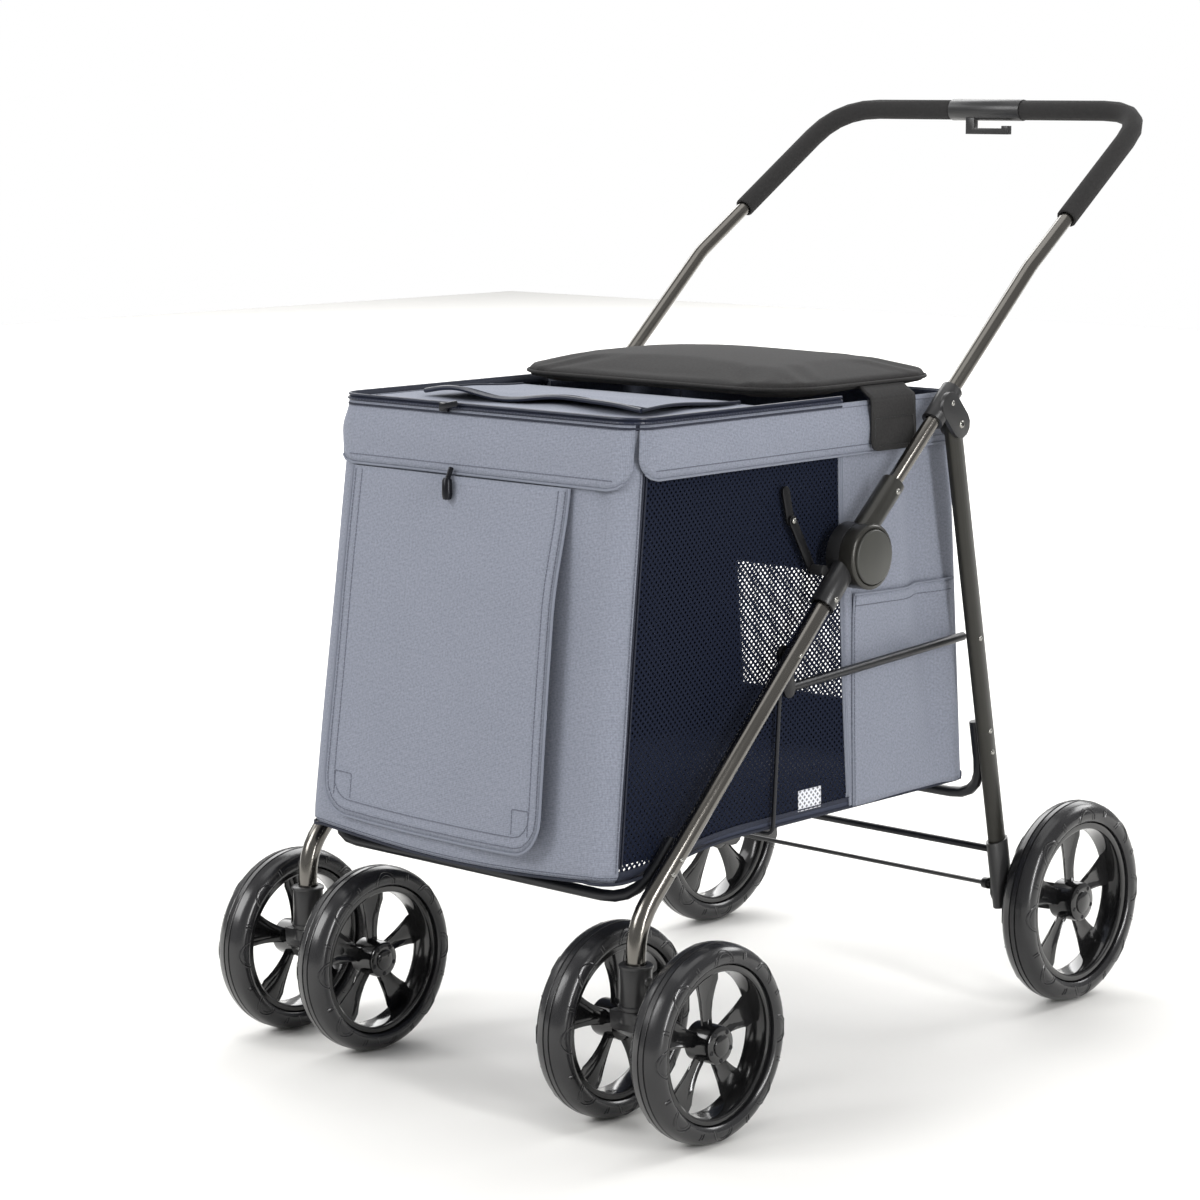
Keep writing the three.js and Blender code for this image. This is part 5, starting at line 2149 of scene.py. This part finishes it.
@dataclass
class Lid:
    """The zipped grey top in front of the padded cover."""

    cabin: Cabin
    cell: float = 7 * MM

    def build(self) -> None:
        """Builds the lid cloth, its folded-back layer and its seams."""
        low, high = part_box("top_lid")
        z = high.z
        x = self.cabin.half - 3 * MM

        def hang(a: float, b: float) -> Vector:
            """Places a point of the cut where the cloth hangs."""
            u = smooth((x - abs(a)) / (60 * MM)) * smooth((b - low.y) / (60 * MM))
            pucker = 1.8 * MM * wave(a * 1.6, b * 2.2, 0.4)
            return Vector((a, b, z - 1.2 * MM + u * (pucker - 1.0 * MM)))

        cut_low, cut_high = (-x, low.y + 1 * MM), (x, high.y - 1 * MM)
        radii = {(0, 0): self.cabin.front_round - 3 * MM, (1, 0): self.cabin.front_round - 3 * MM}
        sheet = Sheet(cut_low, cut_high, hang, self.cell, corner_trim(cut_low, cut_high, radii))
        piece = hung_cloth(
            "lid_cloth",
            sheet.cloth(),
            (Look.CLOTH,),
            "lid",
            ("top_lid",),
            thickness=1.4 * MM,
        )
        seams = bmesh.new()
        i = 8 * MM
        line = [
            (-x + i, cut_high[1] - 4 * MM),
            (-x + i, low.y + 26 * MM),
            (-x + 26 * MM, low.y + i),
            (x - 26 * MM, low.y + i),
            (x - i, low.y + 26 * MM),
            (x - i, cut_high[1] - 4 * MM),
        ]
        sheet.stitch(seams, line)
        thread = finished("lid_stitching", seams, (Look.THREAD_AND_SEAM_SHADE,), "lid")
        self.folded_layer(z, low.y, high.y)

    def folded_layer(self, z: float, front: float, rear: float) -> None:
        """Adds the loose second layer, its front edge rolled and waving."""
        half = 152 * MM
        start = front + 62 * MM

        def hang(a: float, b: float) -> Vector:
            """Places a point of the cut where the cloth hangs."""
            w = smooth((rear - b) / (150 * MM))
            ripple = 2.6 * MM * (1 + math.sin(38 * a + 26 * b + 1.1)) * w
            ripple += 1.6 * MM * (1 + math.sin(-55 * a + 34 * b)) * w
            drift = 9 * MM * math.sin(22 * a + 0.7) * w
            return Vector((a, b + drift, z + 1.0 * MM + ripple))

        sheet = Sheet((-half, start), (half, rear - 2 * MM), hang, self.cell)
        piece = hung_cloth(
            "lid_folded_layer", sheet.cloth(), (Look.CLOTH,), "lid", thickness=1.2 * MM
        )
        bm = bmesh.new()
        for shift, r in ((0.0, 2.6), (9.0, 1.2)):
            path = [
                sheet.point(-half + 2 * half * k / 60, start + shift * MM, 0.6 * MM)
                for k in range(61)
            ]
            tube(bm, path, r * MM, 8, material=0 if shift else 1)
        for a in (-half, half):
            path = [
                sheet.point(a, start + (rear - start - 3 * MM) * k / 24, 0.4 * MM) for k in range(25)
            ]
            tube(bm, path, 1.5 * MM, 6, material=0)
        finished("lid_layer_edging", bm, (Look.TAPE, Look.COIL), "lid")


@dataclass
class Cover:
    """The padded charcoal cover: cut as a flat box, then filled and held at its seam."""

    voxel: float = 6 * MM
    pressure: float = 4.0
    frames: int = 14
    cap: float = 7 * MM
    round_corner: float = 66 * MM
    reach: float = 20 * MM
    crown: float = 10 * MM

    def build(self) -> None:
        """Shapes, fills and dresses the cover, with its corded seam."""
        low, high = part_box("top_cover")
        low.y -= self.reach
        low.z -= 3 * MM
        bm = bmesh.new()
        grown = 1.5 * MM
        made = bmesh.ops.create_cube(
            bm,
            size=1.0,
            matrix=Matrix.Translation((low + high) / 2)
            @ Matrix.Diagonal(
                (high.x - low.x + grown, high.y - low.y + grown, high.z - low.z - 8 * MM, 1)
            ),
        )["verts"]
        upright = [
            e
            for e in {e for v in made for e in v.link_edges}
            if abs(e.verts[0].co.z - e.verts[1].co.z) > 5 * MM
        ]
        bmesh.ops.bevel(
            bm,
            geom=upright,
            offset=self.round_corner,
            offset_type="OFFSET",
            affect="EDGES",
            segments=7,
            profile=0.5,
            material=-1,
            clamp_overlap=True,
        )
        rims = [e for e in bm.edges if e.is_manifold and e.calc_face_angle(0.0) > math.radians(60)]
        bmesh.ops.bevel(
            bm,
            geom=rims,
            offset=5 * MM,
            offset_type="OFFSET",
            affect="EDGES",
            segments=3,
            profile=0.5,
            material=-1,
            clamp_overlap=True,
        )
        shape = self.filled(bm, (low + high) / 2, (high - low) / 2)
        piece = finished(
            "padded_cover", shape, (Look.CHARCOAL,), "cover", ("top_cover",), 70
        )
        self.seam(low, high)

    def filled(self, bm: bmesh.types.BMesh, middle: Vector, reach: Vector) -> bmesh.types.BMesh:
        """Re-meshes the slack shape and blows it up as cloth, held round its middle.

        Args:
            bm: the slack shape; it is freed.
            middle: the shape's middle.
            reach: half of the shape's size.

        Returns:
            The filled shape.
        """
        scene = bpy.context.scene
        mesh = bpy.data.meshes.new("cover_slack")
        bm.to_mesh(mesh)
        bm.free()
        slack = bpy.data.objects.new("cover_slack", mesh)
        scene.collection.objects.link(slack)
        remesh = slack.modifiers.new("remesh", "REMESH")
        remesh.mode = "VOXEL"
        remesh.voxel_size = self.voxel
        graph = bpy.context.evaluated_depsgraph_get()
        fine = bpy.data.meshes.new_from_object(slack.evaluated_get(graph))
        slack.modifiers.clear()
        slack.data = fine
        start = [v.co.copy() for v in fine.vertices]
        self.simulate(slack, middle, reach)
        made = bmesh.new()
        graph = bpy.context.evaluated_depsgraph_get()
        soft = bpy.data.meshes.new_from_object(slack.evaluated_get(graph))
        made.from_mesh(soft)
        for v, was in zip(made.verts, start):
            move = v.co - was
            if move.length > self.cap:
                v.co = was + move * (self.cap / move.length)
        bmesh.ops.smooth_vert(
            made, verts=made.verts, factor=0.4, use_axis_x=True, use_axis_y=True, use_axis_z=True
        )
        scene.frame_set(1)
        bpy.data.objects.remove(slack)
        for v in made.verts:
            u = max(0.0, 1 - ((v.co.x - middle.x) / reach.x) ** 2)
            w = max(0.0, 1 - ((v.co.y - middle.y) / reach.y) ** 2)
            if v.co.z > middle.z:
                v.co.z += (self.crown + 1.0 * MM * wave(v.co.x, v.co.y, 9.0)) * u * w
            v.co.z = max(v.co.z, middle.z - reach.z + 0.4 * MM)
        return made

    def simulate(self, slack: bpy.types.Object, middle: Vector, reach: Vector) -> None:
        """Runs the cloth: air inside, no weight, the seam line held."""
        held = slack.vertex_groups.new(name="held")
        near = [
            v.index
            for v in slack.data.vertices
            if abs(v.co.z - middle.z) < self.voxel * 0.6
            and max(abs(v.co.x) / reach.x, abs(v.co.y - middle.y) / reach.y) > 0.93
        ]
        held.add(near, 1.0, "REPLACE")
        cloth = slack.modifiers.new("cloth", "CLOTH")
        cloth.settings.use_pressure = True
        cloth.settings.uniform_pressure_force = self.pressure
        cloth.settings.quality = 5
        cloth.settings.mass = 0.3
        cloth.settings.tension_stiffness = 15
        cloth.settings.compression_stiffness = 15
        cloth.settings.bending_stiffness = 0.5
        cloth.settings.vertex_group_mass = "held"
        cloth.settings.effector_weights.gravity = 0.0
        cloth.collision_settings.use_collision = False
        cloth.point_cache.frame_start = 1
        cloth.point_cache.frame_end = self.frames
        for k in range(1, self.frames + 1):
            bpy.context.scene.frame_set(k)

    def seam(self, low: Vector, high: Vector) -> None:
        """Adds the corded seam round the cover."""
        bm = bmesh.new()
        path = []
        middle = (low + high) / 2
        rx, ry = (high.x - low.x) / 2 + 1.2 * MM, (high.y - low.y) / 2 + 1.2 * MM
        r = self.round_corner
        for cx, cy, from_deg in ((1, 1, 0), (-1, 1, 90), (-1, -1, 180), (1, -1, 270)):
            for k in range(9):
                t = math.radians(from_deg + 90 * k / 8)
                x = middle.x + cx * (rx - r) + r * math.cos(t)
                y = middle.y + cy * (ry - r) + r * math.sin(t)
                path.append(Vector((x, y, middle.z - 0.5 * MM)))
        tube(bm, path, 1.9 * MM, 8, closed=True)
        finished("cover_piping", bm, (Look.CHARCOAL,), "cover")


@dataclass
class Flap:
    """The door flap that hangs over the doorway."""

    cabin: Cabin
    corner: float = 32 * MM
    stand: float = 4.6 * MM

    def build(self) -> None:
        """Builds the flap, its stitching and its corner patches."""
        c = self.cabin
        low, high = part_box("front_flap")
        half = c.front_run / 2
        a0, a1 = low.x - 1 * MM + half, high.x + 1 * MM + half
        b0, b1 = low.z + 19 * MM, high.z - 3 * MM

        def hang(a: float, b: float) -> Vector:
            """Places a point of the cut where the cloth hangs."""
            u, w = (a - a0) / (a1 - a0), (b1 - b) / (b1 - b0)
            belly = 5.0 * MM * arch(a / c.front_run) * arch(c.share(b))
            right = 11 * MM * smooth((u - 0.5) / 0.5) * smooth(w / 0.35)
            left = 1.5 * MM * smooth((0.12 - u) / 0.12)
            pucker = 0.8 * MM * wave(a, b, 6.0)
            here = c.at(a, b, self.stand + belly + right + left + pucker)
            here.z -= 6 * MM * math.sin(math.pi * u) * smooth((w - 0.7) / 0.3)
            return here

        radii = {(0, 0): self.corner, (1, 0): self.corner}
        trim = corner_trim((a0, b0), (a1, b1), radii)
        sheet = Sheet((a0, b0), (a1, b1), hang, 8 * MM, trim)
        piece = hung_cloth(
            "door_flap",
            sheet.cloth(),
            (Look.CLOTH,),
            "flap",
            ("front_flap",),
            thickness=2.0 * MM,
        )
        seams = bmesh.new()
        for i, r in ((5 * MM, self.corner - 5 * MM), (14 * MM, self.corner - 12 * MM)):
            line = [(a0 + i, b1 - 3 * MM), (a0 + i, b0 + i + r)]
            line += [
                (a0 + i + r - r * math.cos(t), b0 + i + r - r * math.sin(t))
                for t in (0.39, 0.79, 1.18)
            ]
            line += [(a0 + i + r, b0 + i), (a1 - i - r, b0 + i)]
            line += [
                (a1 - i - r + r * math.sin(t), b0 + i + r - r * math.cos(t))
                for t in (0.39, 0.79, 1.18)
            ]
            line += [(a1 - i, b0 + i + r), (a1 - i, b1 - 3 * MM)]
            sheet.stitch(seams, line)
        for a in (a0 + 15 * MM, a1 - 37 * MM):
            end, low_b, high_b = a + 22 * MM, b0 + 16 * MM, b0 + 38 * MM
            sheet.stitch(seams, [(a, low_b), (a, high_b), (end, high_b), (end, low_b)])
        edge = [sheet.point(*trim(a0 + (a1 - a0) * k / 50, b0), 0) for k in range(51)]
        tube(seams, edge, 1.4 * MM, 6, material=1)
        for a in (a0, a1):
            side = [sheet.point(*trim(a, b0 + (b1 - b0) * k / 30), 0) for k in range(31)]
            tube(seams, side, 1.4 * MM, 6, material=1)
        thread = finished(
            "door_flap_stitching", seams, (Look.THREAD_AND_SEAM_SHADE, Look.CLOTH), "flap"
        )
        for each in (piece, thread):
            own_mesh(each)


# ---- stage ------------------------------------------------------------------
@dataclass
class Stage:
    """A pale studio: floor, soft lights and the camera."""

    floor: str = "#f2f1ee"
    sky: tuple[float, float, float, float] = (1.0, 1.0, 1.0, 1.0)
    strength: float = 0.42
    lens: float = 98.7
    place: tuple[float, float, float] = (2.29087, -2.71920, 1.01546)
    azimuth: float = 0.740
    elevation: float = 0.156

    def build(self) -> None:
        """Builds floor, world, lights and camera."""
        bm = bmesh.new()
        bmesh.ops.create_grid(bm, x_segments=1, y_segments=1, size=9.0)
        mesh = bpy.data.meshes.new("floor")
        bm.to_mesh(mesh)
        bm.free()
        mesh.materials.append(Coated("studio_floor", self.floor, 0.85, dark=self.floor).material())
        floor = bpy.data.objects.new("studio_floor", mesh)
        bpy.context.scene.collection.objects.link(floor)
        world = bpy.data.worlds.new("studio")
        bpy.context.scene.world = world
        world.use_nodes = True
        back = world.node_tree.nodes["Background"]
        back.inputs["Color"].default_value = self.sky
        seen = add_node(world.node_tree, "ShaderNodeLightPath")
        level = add_node(
            world.node_tree,
            "ShaderNodeMapRange",
            {},
            {"Value": (seen, "Is Camera Ray"), "To Min": self.strength, "To Max": 1.0},
        )
        world.node_tree.links.new(level.outputs[0], back.inputs["Strength"])
        self.light("key_softbox", (-1.4, -3.4, 2.7), (0, 0, 0.5), (1.8, 2.0), 88)
        self.light("side_strip", (3.6, -0.9, 1.5), (0.2, 0, 0.5), (0.4, 2.6), 80)
        self.light("rear_softbox", (0.8, 3.4, 2.6), (0, 0, 0.6), (2.0, 1.4), 60)
        self.light("floor_wash", (-4.5, 5.0, 3.6), (-4.5, 5.0, 0), (7.0, 7.0), 520)
        self.light("floor_wash_left", (-5.5, -0.5, 3.6), (-5.5, -0.5, 0), (4.0, 5.0), 150)
        self.light("top_softbox", (0, 0, 3.4), (0, 0, 0.5), (2.4, 2.4), 20)
        self.camera()

    def light(
        self,
        name: str,
        place: tuple[float, float, float],
        aim: tuple[float, float, float],
        size: tuple[float, float],
        watts: float,
    ) -> None:
        """Adds one rectangular light aimed at a point."""
        lamp = bpy.data.lights.new(name, "AREA")
        lamp.shape = "RECTANGLE"
        lamp.size, lamp.size_y = size
        lamp.energy = watts
        piece = bpy.data.objects.new(name, lamp)
        piece.location = place
        way = Vector(aim) - Vector(place)
        piece.rotation_euler = way.to_track_quat("-Z", "Y").to_euler()
        bpy.context.scene.collection.objects.link(piece)

    def camera(self) -> None:
        """Adds the camera."""
        data = bpy.data.cameras.new("studio_camera")
        data.lens, data.sensor_width = self.lens, 36.0
        a, e = self.azimuth, self.elevation
        back = Vector((math.sin(a) * math.cos(e), -math.cos(a) * math.cos(e), math.sin(e)))
        piece = bpy.data.objects.new("studio_camera", data)
        piece.location = self.place
        piece.rotation_euler = (-back).to_track_quat("-Z", "Y").to_euler()
        bpy.context.scene.collection.objects.link(piece)
        bpy.context.scene.camera = piece


def main() -> None:
    """Builds the stroller in order: frame, wheels, cabin, top, flap, then the stage."""
    logging.basicConfig(level=logging.INFO, format="%(name)s: %(message)s")
    scene = bpy.context.scene
    scene.view_settings.view_transform = "Standard"
    cabin = Cabin()
    for part in (
        Hardware(),
        Grips(),
        WheelSet(),
        Walls(cabin),
        Rim(cabin),
        Lid(cabin),
        Cover(),
        Flap(cabin),
        Stage(),
    ):
        LOG.info("building %s", type(part).__name__)
        part.build()


if __name__ == "__main__":
    main()
